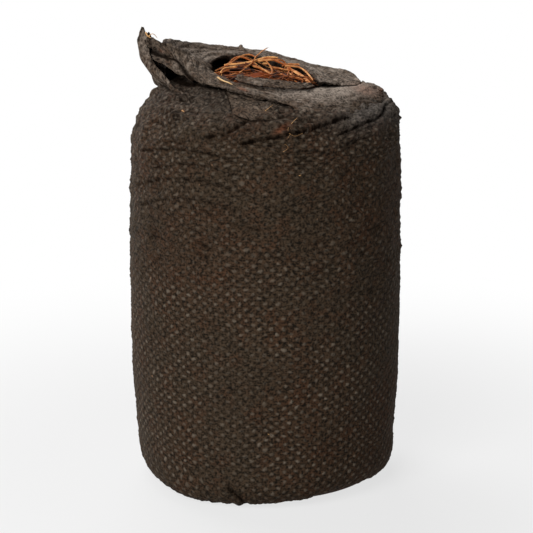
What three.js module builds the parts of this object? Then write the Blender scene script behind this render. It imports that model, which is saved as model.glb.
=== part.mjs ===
// A coir plug: a pressed coir core in a fleece sleeve, with the sleeve's mouth folded open on top.
// Millimetres, +Z up. The origin is the middle of the base, and the front faces -Y.
// Azimuth is in degrees about +Z: 0 is the right, 90 the back, 180 the left and 270 the front.
import * as THREE from 'three';

// The plug's body
const plugRadius = 26.15;
const footDraw = 0.7;
const neckDraw = 0.45;
const widestShare = 0.55;
const crownHeight = 80;
const baseRound = 8.5;
const baseRoundness = 2.8;
const mouthRadius = 11;
const footRadius = plugRadius - footDraw;
const neckRadius = plugRadius - neckDraw;

// The cloth
const sleeveThickness = 0.5;
const foldThickness = 0.6;
const clearance = 0.3;

// How a cuff turns down into the mouth: its reach inward and downward on the sleeve's edge,
// what both gain where it passes inside that edge, and the width over which they gain it
const turnReach = 0.4;
const turnDrop = 0.1;
const hangReach = 0.5;
const hangDrop = 2.2;
const hangStart = 0.4;
const hangWidth = 0.8;

// The shoulder that the folds and fibres below are drawn for
const drawnNeckRadius = 25.7;
const drawnMouthRadius = 11;

// The core's planting hole, and the groove that runs round it under the mouth's edge
const holeRadius = 3.4;
const holeDepth = 12;
const holeTipRadius = 2.9;
const grooveWidth = 1.2;
const grooveDepth = 3.6;
const moundShoulder = 0.4;
const moundLean = 0.8;

// The join at the back of the sleeve
const lapAzimuth = 90;
const lapWidth = 6;
const lapThickness = 0.5;
const lapFoot = 16;
const lapTopDrop = 21;
const lapTop = crownHeight - lapTopDrop;
const lapSeatAngle = 10;
const lapSeatShare = 0.1;

// The steepest slope that the gap under resting cloth is measured square to
const steepestRest = 1.5;

// How finely the cloth is cut
const sleeveColumns = 40;
const baseRings = 1;
const roundRings = 4;
const wallShares = [lapSeatShare, 0.5, 1 - lapSeatShare, 1];
const shoulderRings = 6;

// The shoulder by azimuth: where it starts below the crown, how far the mouth's edge lies below
// the crown, and how square the curve between them is
const shoulderRows = [
  [0, 14, 3.8, 4.1],
  [45, 14.4, 2.6, 3.4],
  [90, 15, 1.5, 2.8],
  [135, 15.6, 0.9, 2.3],
  [180, 16, 0.7, 2.4],
  [225, 15.6, 1.8, 2.0],
  [270, 15, 2.8, 2.4],
  [315, 14.4, 3.4, 3.2],
  [360, 14, 3.8, 4.1],
];

// The front cuff from the left corner round the front to the right shoulder. Each row gives an
// azimuth, then the radius and rise over the crown of the mouth's edge, the middle and the free edge
const frontCuffRows = [
  [174, 11.2, 1.2, 16.0, 3.0, 21.0, 5.6],
  [180, 10.8, 0.9, 15.5, 2.9, 22.4, 5.4],
  [185, 10.7, 0.8, 15.0, 2.8, 21.4, 4.2],
  [189, 10.7, 0.6, 14.2, 2.6, 17.9, 3.1],
  [196, 10.6, 0.4, 13.4, 2.0, 15.9, 2.1],
  [205, 10.6, -0.1, 13.0, 1.0, 15.3, 0.5],
  [214, 10.6, -0.3, 13.0, 0.2, 15.3, -0.3],
  [228, 10.8, -0.5, 13.3, -0.2, 15.6, -0.7],
  [243, 11.0, -0.9, 13.5, -0.7, 16.0, -1.0],
  [260, 11.3, -1.4, 14.2, -1.5, 17.0, -1.7],
  [272, 11.9, -1.6, 15.2, -1.8, 18.8, -2.3],
  [284, 12.6, -1.8, 16.4, -2.2, 20.2, -3.1],
  [304, 13.6, -2.0, 17.8, -2.6, 21.6, -3.9],
  [326, 14.1, -2.2, 18.2, -2.7, 22.0, -3.9],
  [345, 15.6, -2.6, 19.0, -2.9, 22.0, -3.8],
  [358, 18.4, -2.7, 20.4, -2.9, 22.2, -3.8],
];

// The back cuff from the right slit round the back to the left corner. Each row gives an azimuth,
// then the radius and rise of the mouth's edge, the middle and the crest, and the outer foot's radius
const backCuffRows = [
  [-5, 13.0, -2.4, 14.6, -2.6, 16.1, -2.8, 16.4],
  [6, 10.9, -2.4, 14.4, -2.6, 17.5, -2.8, 18.0],
  [20, 10.4, -2.1, 14.8, -2.5, 18.6, -2.8, 19.2],
  [38, 10.4, -1.5, 15.4, -2.2, 20.0, -2.6, 20.6],
  [56, 10.5, -0.8, 15.6, -1.5, 20.3, -2.2, 21.0],
  [72, 10.6, -0.2, 15.5, -0.6, 20.0, -1.4, 20.9],
  [89, 10.7, 0.7, 15.4, 0.7, 19.8, 0.5, 20.7],
  [104, 10.8, 1.3, 15.3, 1.4, 19.5, 1.4, 20.4],
  [120, 10.9, 1.6, 15.2, 1.7, 19.2, 2.1, 20.2],
  [142, 11.3, 1.6, 15.4, 2.1, 19.2, 3.6, 20.0],
  [158, 11.3, 1.3, 15.6, 2.2, 19.4, 4.5, 20.0],
  [168, 11.2, 1.0, 15.5, 2.4, 19.7, 4.8, 20.1],
];

// The ear's wall from its front end round the tip to its back end: azimuth, radius of the foot,
// radius and rise of the top edge, and how far the wall bellies out between them
const earRows = [
  [221, 17.4, 17.6, -1.2, 0.1],
  [208, 18.2, 18.5, -0.9, 0.3],
  [198, 18.9, 19.5, 0.0, 0.6],
  [191, 19.3, 20.9, 1.3, 1.0],
  [187, 19.5, 22.2, 2.8, 1.4],
  [184.6, 19.6, 22.9, 5.0, 1.6],
  [182.6, 19.7, 22.8, 7.1, 1.8],
  [180, 19.8, 23.5, 8.2, 2.0],
  [176, 20.1, 24.0, 6.6, 1.5],
  [170, 20.7, 23.5, 5.0, 1.0],
  [163, 21.2, 22.5, 4.2, 0.6],
  [156, 21.3, 21.7, 3.4, 0.3],
];

// The tongue under the front cuff, inside the ear: azimuth, then radius and rise of its root and edge
const tongueRows = [
  [184, 20.0, 3.0, 21.6, 2.6],
  [186.5, 18.4, 2.5, 20.5, 1.8],
  [190, 16.6, 1.7, 18.8, 0.9],
  [194, 15.2, 1.0, 17.5, 0.3],
  [200, 14.2, 0.2, 16.3, -0.4],
  [207, 13.8, -0.6, 15.4, -1.0],
];

// The lip in front of the mouth: azimuth, then radius and rise of its low and its high edge
const lipRows = [
  [242, 11.4, 0.2, 10.5, 0.6],
  [252, 12.2, -0.1, 10.8, 0.4],
  [264, 13.0, -0.3, 11.0, 0.2],
  [279, 13.7, -0.6, 11.7, -0.1],
  [294, 14.3, -0.9, 12.5, -0.5],
  [308, 14.1, -1.1, 13.3, -0.9],
];

// The flat tuck under the front cuff: azimuth, then the radii of its upper and lower edges
const tuckRows = [
  [246, 16.4, 17.4],
  [250, 16.8, 18.9],
  [254, 17.2, 20.5],
  [262, 17.9, 21.6],
  [270, 19.2, 21.8],
  [277, 20.4, 21.9],
];

// The second corner, folded flat on the right shoulder: azimuth, then its inner and outer radii
const cornerRows = [
  [2, 20.0, 22.4],
  [8, 19.6, 22.8],
  [15, 20.2, 22.9],
  [21, 21.2, 22.6],
];

// The core's height in the mouth, as a rise over the crown by azimuth
const moundRows = [
  [0, -2.8],
  [45, -2.4],
  [90, -1.8],
  [135, -3.6],
  [180, -2.0],
  [225, -1.2],
  [270, -1.0],
  [315, -1.4],
  [360, -2.8],
];

// Coir fibres in the mouth and one caught in the ear. Each has a name, its radius at either end
// and the points of its route: x, y and the rise over the crown
const fibreRoutes = [
  ['fibre_long_pale', 0.34, 0.2, [
    [-8.0, 4.5, 0.3], [-5.3, 4.7, 0.5], [-2.6, 5.2, 0.8], [0.1, 6.2, 1.3], [2.0, 6.8, 1.2], [3.6, 7.2, 0.5],
    [4.6, 7.4, -1.2]]],
  ['fibre_back_stick', 0.26, 0.12, [
    [-5.6, 2.6, -2.4], [-4.2, 2.9, -0.1], [-2.9, 3.6, 0.6], [-1.3, 5.8, 2.3], [0.4, 7.4, 3.3]]],
  ['fibre_left_arch', 0.2, 0.18, [
    [-7.4, 6.2, -0.3], [-6.3, 7.0, 1.1], [-4.7, 7.6, 1.4], [-2.8, 7.8, 0.6], [-1.3, 7.4, -0.4],
    [0.3, 6.4, -1.2]]],
  ['fibre_left_low', 0.24, 0.16, [
    [-8.0, -1.4, -1.5], [-8.4, 0.4, -0.3], [-7.2, 2.2, 0.2], [-4.9, 3.6, 0.3]]],
  ['fibre_mid_cross', 0.2, 0.16, [
    [-1.2, 3.5, -0.3], [0.2, 3.6, -0.7], [1.6, 3.5, -1.2], [2.4, 3.5, -1.7]]],
  ['fibre_mid_kink', 0.2, 0.16, [
    [-0.6, 5.3, 0.5], [0.5, 5.4, 0.4], [1.3, 5.2, -0.8], [1.8, 5.0, -1.6]]],
  ['fibre_right_over', 0.22, 0.16, [
    [1.4, 3.2, -0.1], [3.2, 3.6, -0.5], [5.1, 3.6, -0.7], [6.8, 3.4, -1.9]]],
  ['fibre_right_top', 0.22, 0.12, [
    [3.6, 6.2, -0.5], [5.0, 6.0, 0.2], [6.6, 5.6, 0.4]]],
  ['fibre_right_bow', 0.2, 0.16, [
    [3.8, 5.0, -0.1], [5.9, 4.9, 0.0], [7.9, 4.2, -0.9], [8.8, 2.4, -2.4], [8.8, 1.6, -3.1]]],
  ['fibre_right_bundle', 0.36, 0.24, [
    [4.5, 2.0, 0.2], [5.8, 0.4, -0.6], [7.3, -1.4, -1.3], [8.6, -3.6, -1.8]]],
  ['fibre_right_low', 0.26, 0.16, [
    [4.3, 0.4, -0.6], [5.6, -1.2, -1.1], [6.9, -3.0, -1.5]]],
  ['fibre_front_curl', 0.2, 0.16, [
    [-6.2, -5.0, -0.6], [-5.2, -5.6, -0.3], [-4.2, -5.6, -0.6]]],
  ['fibre_front_left', 0.2, 0.14, [
    [-7.4, -3.2, -1.1], [-6.2, -3.6, -0.6], [-5.0, -3.4, -0.7]]],
  ['straw_on_rim', 0.3, 0.16, [
    [-8.9, -9.0, 0.75], [-7.3, -11.0, 0.4], [-5.8, -12.5, 0.1], [-3.6, -14.0, -0.5]]],
  ['fibre_in_ear', 0.2, 0.1, [
    [-22.7, 0.3, 6.5], [-21.9, 0.2, 6.2], [-20.6, 0.0, 6.0]]],
];
const fibreSides = 6;
const fibreStepLength = 0.9;

// A chip of coconut husk that leans on the mound behind the front lip
const chipCentre = [-1.6, -6.4, -0.1];
const chipWidth = 4.6;
const chipHeight = 2.2;
const chipThickness = 0.6;
const chipBow = 0.7;
const chipLean = 35;

const fleeceColour = 0x463a30;
const cuffColour = 0x5c5048;
const coirColour = 0x6b3a1f;
const fibreColour = 0xc07a42;
const strawColour = 0xd8b078;

// The row of a table at a share of the way along it, on a smooth curve through every column
function rowAlong(rows, share) {
  const place = share * (rows.length - 1);
  const i = Math.min(Math.floor(place), rows.length - 2);
  const t = place - i;
  const before = rows[Math.max(i - 1, 0)];
  const after = rows[Math.min(i + 2, rows.length - 1)];
  return rows[i].map((value, column) => {
    const next = rows[i + 1][column];
    const slopeHere = (next - before[column]) / 2;
    const slopeNext = (after[column] - value) / 2;
    const bend = 2 * (value - next) + slopeHere + slopeNext;
    const lean = 3 * (next - value) - 2 * slopeHere - slopeNext;
    return value + t * (slopeHere + t * (lean + t * bend));
  });
}

// The shoulder's own numbers at an azimuth
function shoulderAt(azimuth) {
  const turn = ((azimuth % 360) + 360) % 360;
  const [, start, drop, squareness] = rowAlong(shoulderRows, turn / 360);
  return { base: crownHeight - start, top: crownHeight - drop, squareness };
}

// Height of the sleeve's outer face on the shoulder
function shoulderHeight(azimuth, radius) {
  const { base, top, squareness } = shoulderAt(azimuth);
  const reach = Math.min(Math.max((radius - mouthRadius) / (neckRadius - mouthRadius), 0), 1);
  return base + (top - base) * Math.pow(1 - Math.pow(reach, squareness), 1 / squareness);
}

function polar(azimuth, radius, height) {
  const turn = THREE.MathUtils.degToRad(azimuth);
  return new THREE.Vector3(radius * Math.cos(turn), radius * Math.sin(turn), height);
}

// Radius of the sleeve's outer face on the barrel: widest above its middle, drawn in a little
// towards the foot and the neck, and pressed in under the lap
function wallRadius(azimuth, height) {
  const { base } = shoulderAt(azimuth);
  const share = (height - baseRound) / (base - baseRound);
  const low = Math.max(widestShare - share, 0) / widestShare;
  const high = Math.max(share - widestShare, 0) / (1 - widestShare);
  const fade = Math.min(1, share / lapSeatShare, (1 - share) / lapSeatShare);
  const offLap = Math.max(Math.abs(azimuth - lapAzimuth) - lapSeatAngle, 0);
  const underLap = (clearance + lapThickness) * fade * Math.max(1 - offLap / lapSeatAngle, 0);
  return plugRadius - footDraw * low ** 2 - neckDraw * high ** 2 - underLap;
}

// The sleeve's outline at an azimuth, set in by a distance: base, rounded edge, barrel and shoulder
function sleeveOutline(azimuth, inset) {
  const { base, top, squareness } = shoulderAt(azimuth);
  const points = [];
  const flatRadius = footRadius - baseRound;
  for (let i = 1; i <= baseRings; i += 1) points.push([flatRadius * i / baseRings, inset]);
  for (let i = 1; i <= roundRings; i += 1) {
    const turn = Math.PI / 2 * i / roundRings;
    const out = (baseRound - inset) * Math.pow(Math.sin(turn), 2 / baseRoundness);
    const up = (baseRound - inset) * Math.pow(Math.max(Math.cos(turn), 0), 2 / baseRoundness);
    points.push([flatRadius + out, baseRound - up]);
  }
  for (const share of wallShares) {
    const height = baseRound + (base - baseRound) * share;
    points.push([wallRadius(azimuth, height) - inset, height]);
  }
  for (let i = 1; i <= shoulderRings; i += 1) {
    const turn = Math.PI / 2 * i / shoulderRings;
    const out = (neckRadius - inset - mouthRadius) * Math.pow(Math.max(Math.cos(turn), 0), 2 / squareness);
    const up = (top - inset - base) * Math.pow(Math.sin(turn), 2 / squareness);
    points.push([mouthRadius + out, base + up]);
  }
  return points;
}

// A closed body from one outline at each azimuth, which starts and ends on the axis
function turnedBody(outlineAt, startHeight, endHeight) {
  const rings = [];
  for (let i = 0; i < sleeveColumns; i += 1) rings.push(outlineAt(360 * i / sleeveColumns));
  const count = rings[0].length;
  const positions = [0, 0, startHeight, 0, 0, endHeight];
  rings.forEach((outline, i) => {
    outline.forEach(([radius, height]) => {
      positions.push(...polar(360 * i / sleeveColumns, radius, height).toArray());
    });
  });
  const index = [];
  for (let i = 0; i < sleeveColumns; i += 1) {
    const here = 2 + i * count;
    const next = 2 + ((i + 1) % sleeveColumns) * count;
    index.push(0, next, here, 1, here + count - 1, next + count - 1);
    for (let j = 0; j < count - 1; j += 1) index.push(...quad(positions, here + j, next + j));
  }
  return solid(positions, index);
}

// Two triangles between a pair of outlines, split along the shorter diagonal
function quad(positions, here, next) {
  const corner = (i) => new THREE.Vector3().fromArray(positions, 3 * i);
  const rising = corner(here).distanceTo(corner(next + 1));
  const falling = corner(next).distanceTo(corner(here + 1));
  return rising < falling
    ? [here, next, next + 1, here, next + 1, here + 1]
    : [here, next, here + 1, next, next + 1, here + 1];
}

// A geometry with its faces pointing out, whichever way the surface was walked
function solid(positions, index) {
  let volume = 0;
  const corner = (i) => new THREE.Vector3().fromArray(positions, 3 * i);
  for (let i = 0; i < index.length; i += 3) {
    volume += corner(index[i]).dot(corner(index[i + 1]).cross(corner(index[i + 2])));
  }
  const outward = volume > 0 ? index : index.map((_, i) => index[i % 3 === 0 ? i + 2 : i % 3 === 2 ? i - 2 : i]);
  const geometry = new THREE.BufferGeometry();
  geometry.setAttribute('position', new THREE.Float32BufferAttribute(positions, 3));
  geometry.setIndex(outward);
  geometry.computeVertexNormals();
  return geometry;
}

// A sheet of cloth with an even thickness about a surface of two shares, each from 0 to 1
function clothSheet(columns, rows, surfaceAt, thickness) {
  const positions = [];
  const step = 0.001;
  for (const side of [1, -1]) {
    for (let i = 0; i <= columns; i += 1) {
      for (let j = 0; j <= rows; j += 1) {
        const u = i / columns;
        const v = j / rows;
        const alongU = surfaceAt(Math.min(u + step, 1), v).sub(surfaceAt(Math.max(u - step, 0), v));
        const alongV = surfaceAt(u, Math.min(v + step, 1)).sub(surfaceAt(u, Math.max(v - step, 0)));
        const normal = alongU.cross(alongV).normalize();
        positions.push(...surfaceAt(u, v).addScaledVector(normal, side * thickness / 2).toArray());
      }
    }
  }
  const across = rows + 1;
  const back = (columns + 1) * across;
  const index = [];
  for (let i = 0; i < columns; i += 1) {
    for (let j = 0; j < rows; j += 1) {
      const a = i * across + j;
      const b = a + across;
      index.push(a, b, b + 1, a, b + 1, a + 1);
      index.push(back + a, back + b + 1, back + b, back + a, back + a + 1, back + b + 1);
    }
  }
  const border = [];
  for (let i = 0; i < columns; i += 1) border.push(i * across);
  for (let j = 0; j < rows; j += 1) border.push(columns * across + j);
  for (let i = columns; i > 0; i -= 1) border.push(i * across + rows);
  for (let j = rows; j > 0; j -= 1) border.push(j);
  border.forEach((here, i) => {
    const next = border[(i + 1) % border.length];
    index.push(here, back + here, back + next, here, back + next, next);
  });
  return solid(positions, index);
}

// A drawn radius, moved with the mouth that it lies in or the shoulder that it lies on
function onShoulder(radius) {
  if (radius < drawnMouthRadius) return radius * mouthRadius / drawnMouthRadius;
  const stretch = (neckRadius - mouthRadius) / (drawnNeckRadius - drawnMouthRadius);
  return mouthRadius + (radius - drawnMouthRadius) * stretch;
}

// A drawn point of x, y and rise over the crown, moved in the same way
function drawnPoint([x, y, rise]) {
  const radius = Math.hypot(x, y);
  const moved = onShoulder(radius) / radius;
  return new THREE.Vector3(x * moved, y * moved, crownHeight + rise);
}

// Keeps cloth that lies on the shoulder clear of the sleeve under it, measured square to the slope
function restingHeight(azimuth, radius, rise, thickness) {
  const step = 0.2;
  const fall = shoulderHeight(azimuth, radius - step) - shoulderHeight(azimuth, radius + step);
  const slope = Math.min(fall / (2 * step), steepestRest);
  const lowest = shoulderHeight(azimuth, radius) + (clearance + thickness / 2) * Math.hypot(1, slope);
  return Math.max(crownHeight + rise, lowest);
}

// The core: the sleeve's inner outline, a groove under the mouth's edge, a mound and the planting hole
function coreOutline(azimuth) {
  const turn = ((azimuth % 360) + 360) % 360;
  const mound = crownHeight + rowAlong(moundRows, turn / 360)[1];
  const { top } = shoulderAt(azimuth);
  const holeFloor = crownHeight - holeDepth;
  return [
    ...sleeveOutline(azimuth, sleeveThickness + clearance),
    [mouthRadius - grooveWidth, top - grooveDepth],
    [mouthRadius - 2.4 * grooveWidth, mound - moundShoulder],
    [(mouthRadius + holeRadius) / 2 - moundLean, mound],
    [holeRadius, mound - moundShoulder],
    [holeTipRadius, holeFloor],
  ];
}

// The sleeve: its outer outline, then its inner one walked back to the middle of the base
function sleeveShell(azimuth) {
  return [...sleeveOutline(azimuth, 0), ...sleeveOutline(azimuth, sleeveThickness).reverse()];
}

// A cuff's mouth edge, which hangs into the mouth where it passes inside the sleeve's own edge
function turnedIn(radius, height) {
  const hang = THREE.MathUtils.clamp((mouthRadius + hangStart - radius) / hangWidth, 0, 1);
  return [radius - turnReach - hangReach * hang, height - turnDrop - hangDrop * hang];
}

// A point of a cloth section, kept on or above the shoulder outside the mouth
function seated(azimuth, [radius, height]) {
  const overShoulder = radius > mouthRadius - foldThickness;
  const rise = height - crownHeight;
  return polar(azimuth, radius, overShoulder ? restingHeight(azimuth, radius, rise, foldThickness) : height);
}

function frontCuff(u, v) {
  const [azimuth, rim, rimRise, middle, middleRise, edge, edgeRise] = rowAlong(frontCuffRows, u);
  const section = [
    turnedIn(onShoulder(rim), crownHeight + rimRise),
    [onShoulder(rim), crownHeight + rimRise],
    [onShoulder(middle), crownHeight + middleRise],
    [onShoulder(edge), crownHeight + edgeRise],
  ];
  return seated(azimuth, rowAlong(section, v));
}

function backCuff(u, v) {
  const [azimuth, rim, rimRise, middle, middleRise, crest, crestRise, foot] = rowAlong(backCuffRows, u);
  const section = [
    turnedIn(onShoulder(rim), crownHeight + rimRise),
    [onShoulder(rim), crownHeight + rimRise],
    [onShoulder(middle), crownHeight + middleRise],
    [onShoulder(crest), crownHeight + crestRise],
    [onShoulder(foot), restingHeight(azimuth, onShoulder(foot), -crownHeight, foldThickness)],
  ];
  return seated(azimuth, rowAlong(section, v));
}

function cornerEar(u, v) {
  const [azimuth, drawnFoot, drawnTop, topRise, belly] = rowAlong(earRows, u);
  const foot = onShoulder(drawnFoot);
  const top = onShoulder(drawnTop);
  const footHeight = restingHeight(azimuth, foot, -crownHeight, foldThickness / 2);
  const topHeight = crownHeight + topRise;
  const bow = 4 * v * (1 - v) * belly;
  return polar(azimuth, foot + (top - foot) * v + bow, footHeight + (topHeight - footHeight) * v);
}

function earTongue(u, v) {
  const [azimuth, root, rootRise, edge, edgeRise] = rowAlong(tongueRows, u);
  const radius = onShoulder(root + (edge - root) * v);
  return seated(azimuth, [radius, crownHeight + rootRise + (edgeRise - rootRise) * v]);
}

function frontLip(u, v) {
  const [azimuth, low, lowRise, high, highRise] = rowAlong(lipRows, u);
  const radius = onShoulder(low + (high - low) * v);
  return polar(azimuth, radius, crownHeight + lowRise + (highRise - lowRise) * v);
}

// Cloth that lies flat on the shoulder between two radii
function flatFold(rows) {
  return (u, v) => {
    const [azimuth, inner, outer] = rowAlong(rows, u);
    const radius = onShoulder(inner + (outer - inner) * v);
    return polar(azimuth, radius, restingHeight(azimuth, radius, -crownHeight, foldThickness));
  };
}

// The bonded strip that laps the sleeve's join, pressed into the barrel
function lapStrip(u, v) {
  const height = lapFoot + (lapTop - lapFoot) * v;
  const radius = wallRadius(lapAzimuth, height) + clearance + lapThickness / 2;
  const halfTurn = THREE.MathUtils.radToDeg(lapWidth / 2 / radius);
  return polar(lapAzimuth + halfTurn * (2 * u - 1), radius, height);
}

// The husk chip: a bowed flake, leaning back
function huskChip(u, v) {
  const lean = THREE.MathUtils.degToRad(chipLean);
  const across = (u - 0.5) * chipWidth;
  const up = (v - 0.5) * chipHeight * (1 - 0.5 * (2 * u - 1) ** 2);
  const bow = chipBow * (1 - (2 * u - 1) ** 2);
  const centre = drawnPoint(chipCentre);
  return new THREE.Vector3(
    centre.x + across,
    centre.y + up * Math.sin(lean) - bow * Math.cos(lean),
    centre.z + up * Math.cos(lean) + bow * Math.sin(lean),
  );
}

// A fibre: a round section that tapers along a smooth route, closed at both ends
function fibre(startRadius, endRadius, route) {
  const curve = new THREE.CatmullRomCurve3(route.map(drawnPoint), false, 'centripetal');
  const steps = Math.max(4, Math.round(curve.getLength() / fibreStepLength));
  const { normals, binormals } = curve.computeFrenetFrames(steps, false);
  const positions = [...curve.getPointAt(0).toArray(), ...curve.getPointAt(1).toArray()];
  for (let i = 0; i <= steps; i += 1) {
    const radius = THREE.MathUtils.lerp(startRadius, endRadius, i / steps);
    for (let k = 0; k < fibreSides; k += 1) {
      const turn = 2 * Math.PI * k / fibreSides;
      const point = curve.getPointAt(i / steps)
        .addScaledVector(normals[i], radius * Math.cos(turn))
        .addScaledVector(binormals[i], radius * Math.sin(turn));
      positions.push(...point.toArray());
    }
  }
  const index = [];
  const last = 2 + steps * fibreSides;
  for (let k = 0; k < fibreSides; k += 1) {
    const next = (k + 1) % fibreSides;
    index.push(0, 2 + next, 2 + k, 1, last + k, last + next);
    for (let i = 0; i < steps; i += 1) {
      const here = 2 + i * fibreSides;
      index.push(here + k, here + next, here + fibreSides + next);
      index.push(here + k, here + fibreSides + next, here + fibreSides + k);
    }
  }
  return solid(positions, index);
}

const plug = new THREE.Group();

function add(name, geometry, colour, roughness) {
  const mesh = new THREE.Mesh(geometry, new THREE.MeshStandardMaterial({ color: colour, roughness }));
  mesh.name = name;
  plug.add(mesh);
}

add('coir_core', turnedBody(coreOutline, sleeveThickness + clearance, crownHeight - holeDepth), coirColour, 1);
add('fleece_sleeve', turnedBody(sleeveShell, 0, sleeveThickness), fleeceColour, 0.95);
add('lap_strip', clothSheet(2, 8, lapStrip, lapThickness), fleeceColour, 0.95);
add('front_cuff', clothSheet(44, 6, frontCuff, foldThickness), cuffColour, 0.95);
add('back_cuff', clothSheet(36, 8, backCuff, foldThickness), cuffColour, 0.95);
add('corner_ear', clothSheet(36, 5, cornerEar, foldThickness), fleeceColour, 0.95);
add('ear_tongue', clothSheet(10, 3, earTongue, foldThickness), cuffColour, 0.95);
add('front_lip', clothSheet(16, 2, frontLip, foldThickness), fleeceColour, 0.95);
add('front_tuck', clothSheet(12, 5, flatFold(tuckRows), foldThickness), fleeceColour, 0.95);
add('corner_fold', clothSheet(6, 4, flatFold(cornerRows), foldThickness), fleeceColour, 0.95);
add('husk_chip', clothSheet(8, 3, huskChip, chipThickness), coirColour, 0.8);
fibreRoutes.forEach(([name, startRadius, endRadius, route]) => {
  const colour = name.startsWith('straw') ? strawColour : fibreColour;
  add(name, fibre(startRadius, endRadius, route), colour, 0.7);
});

export default plug;
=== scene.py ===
"""A coir plug: pressed coir in a dark fleece sleeve whose mouth is folded open on top.

Lengths are millimetres until a mesh is made. Azimuth is in degrees about +Z: 0 is the right,
90 the back, 180 the left and 270 the front, which faces the camera."""
import math

import bpy
import numpy as np
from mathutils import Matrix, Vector


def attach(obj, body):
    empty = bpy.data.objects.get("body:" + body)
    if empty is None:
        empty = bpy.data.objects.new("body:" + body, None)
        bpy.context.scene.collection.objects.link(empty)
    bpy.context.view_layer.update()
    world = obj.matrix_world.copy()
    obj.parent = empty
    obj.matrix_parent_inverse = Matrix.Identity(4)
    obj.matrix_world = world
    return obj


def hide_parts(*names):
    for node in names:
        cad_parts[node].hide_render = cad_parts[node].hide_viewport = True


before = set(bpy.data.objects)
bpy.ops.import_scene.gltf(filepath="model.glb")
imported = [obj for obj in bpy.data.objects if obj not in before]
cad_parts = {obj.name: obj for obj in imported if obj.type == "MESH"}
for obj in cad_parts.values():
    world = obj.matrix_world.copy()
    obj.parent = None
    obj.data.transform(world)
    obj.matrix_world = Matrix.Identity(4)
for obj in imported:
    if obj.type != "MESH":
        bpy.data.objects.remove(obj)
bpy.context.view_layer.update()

MM = 0.001

# The body's driving sizes, as the construction has them
PLUG_RADIUS = 26.15
FOOT_DRAW = 0.7
NECK_DRAW = 0.45
WIDEST_SHARE = 0.55
CROWN_HEIGHT = 80.0
BASE_ROUND = 8.5
BASE_ROUNDNESS = 2.8
MOUTH_RADIUS = 11.0
FOOT_RADIUS = PLUG_RADIUS - FOOT_DRAW
NECK_RADIUS = PLUG_RADIUS - NECK_DRAW
SLEEVE_THICKNESS = 0.5
CLEARANCE = 0.3
HOLE_RADIUS = 3.4
HOLE_DEPTH = 12.0
HOLE_TIP_RADIUS = 2.9
GROOVE_WIDTH = 1.2
GROOVE_DEPTH = 3.6

# The fleece is thinner than the solids that stand for it
FOLD_SPACE = 0.6
STEEPEST_REST = 1.5
FLEECE_THICKNESS = 0.26

# The lap at the back of the sleeve
LAP_AZIMUTH = 90.0
LAP_WIDTH = 6.0
LAP_THICKNESS = 0.5
LAP_FOOT = 16.0
LAP_TOP = CROWN_HEIGHT - 21.0
LAP_SEAT_ANGLE = 10.0
LAP_SEAT_SHARE = 0.1

# The bonded dots of the fleece lie in staggered rows, this many to a turn of the sleeve
DOTS_AROUND = 70
DOT_PITCH_UP = 1.9
DOT_RELIEF = 0.2
DOT_PITCH_AROUND = 2 * math.pi * PLUG_RADIUS / DOTS_AROUND

# The sleeve's grid: its columns, the rows of the base, of the wall's rounded foot, of the wall and
# of the shoulder, the stages where the base ends and the wall starts, how far the base is set in
# where they lap, and the way up the cloth to each whole stage
SLEEVE_COLUMNS = 560
BASE_ROWS, FOOT_ROWS, WALL_ROWS, SHOULDER_ROWS = 54, 26, 142, 150
BASE_STAGE = 1.26
WALL_FOOT_STAGE = 1.2
BASE_INSET = 0.1
STAGE_LENGTHS = [0, 16.95, 29.9, 87.0, 110.0]

# Heights between which the cloth turns from taut to creped and from creped to slack, its dots grow
# flatter, it takes up pleats, it loses those of its foot, and its relief fades towards the mouth
CREPED_HEIGHTS = (36, 50)
SLACK_HEIGHTS = (60, 72)
FLAT_DOT_HEIGHTS = (44, 56)
PLEATED_HEIGHTS = (66, 72)
FOOT_PLEAT_HEIGHTS = (1, 7)
RIM_HEIGHTS = (77.5, 80)

# The same for the strength of the dots' colour: heights in metres, then the strength at each
DOT_FADE = (0.038, 0.052, 1.0, 0.66)
DOT_RETURN = (0.062, 0.068, 0.0, 0.4)

# Azimuth, how far the shoulder starts below the crown, how far the mouth's edge lies below it,
# and how square the curve between them is
SHOULDER = [
    (0, 14, 3.8, 4.1),
    (45, 14.4, 2.6, 3.4),
    (90, 15, 1.5, 2.8),
    (135, 15.6, 0.9, 2.3),
    (180, 16, 0.7, 2.2),
    (225, 15.6, 1.8, 2),
    (270, 15, 2.8, 2.4),
    (315, 14.4, 3.4, 3.2),
    (360, 14, 3.8, 4.1),
]

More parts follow.
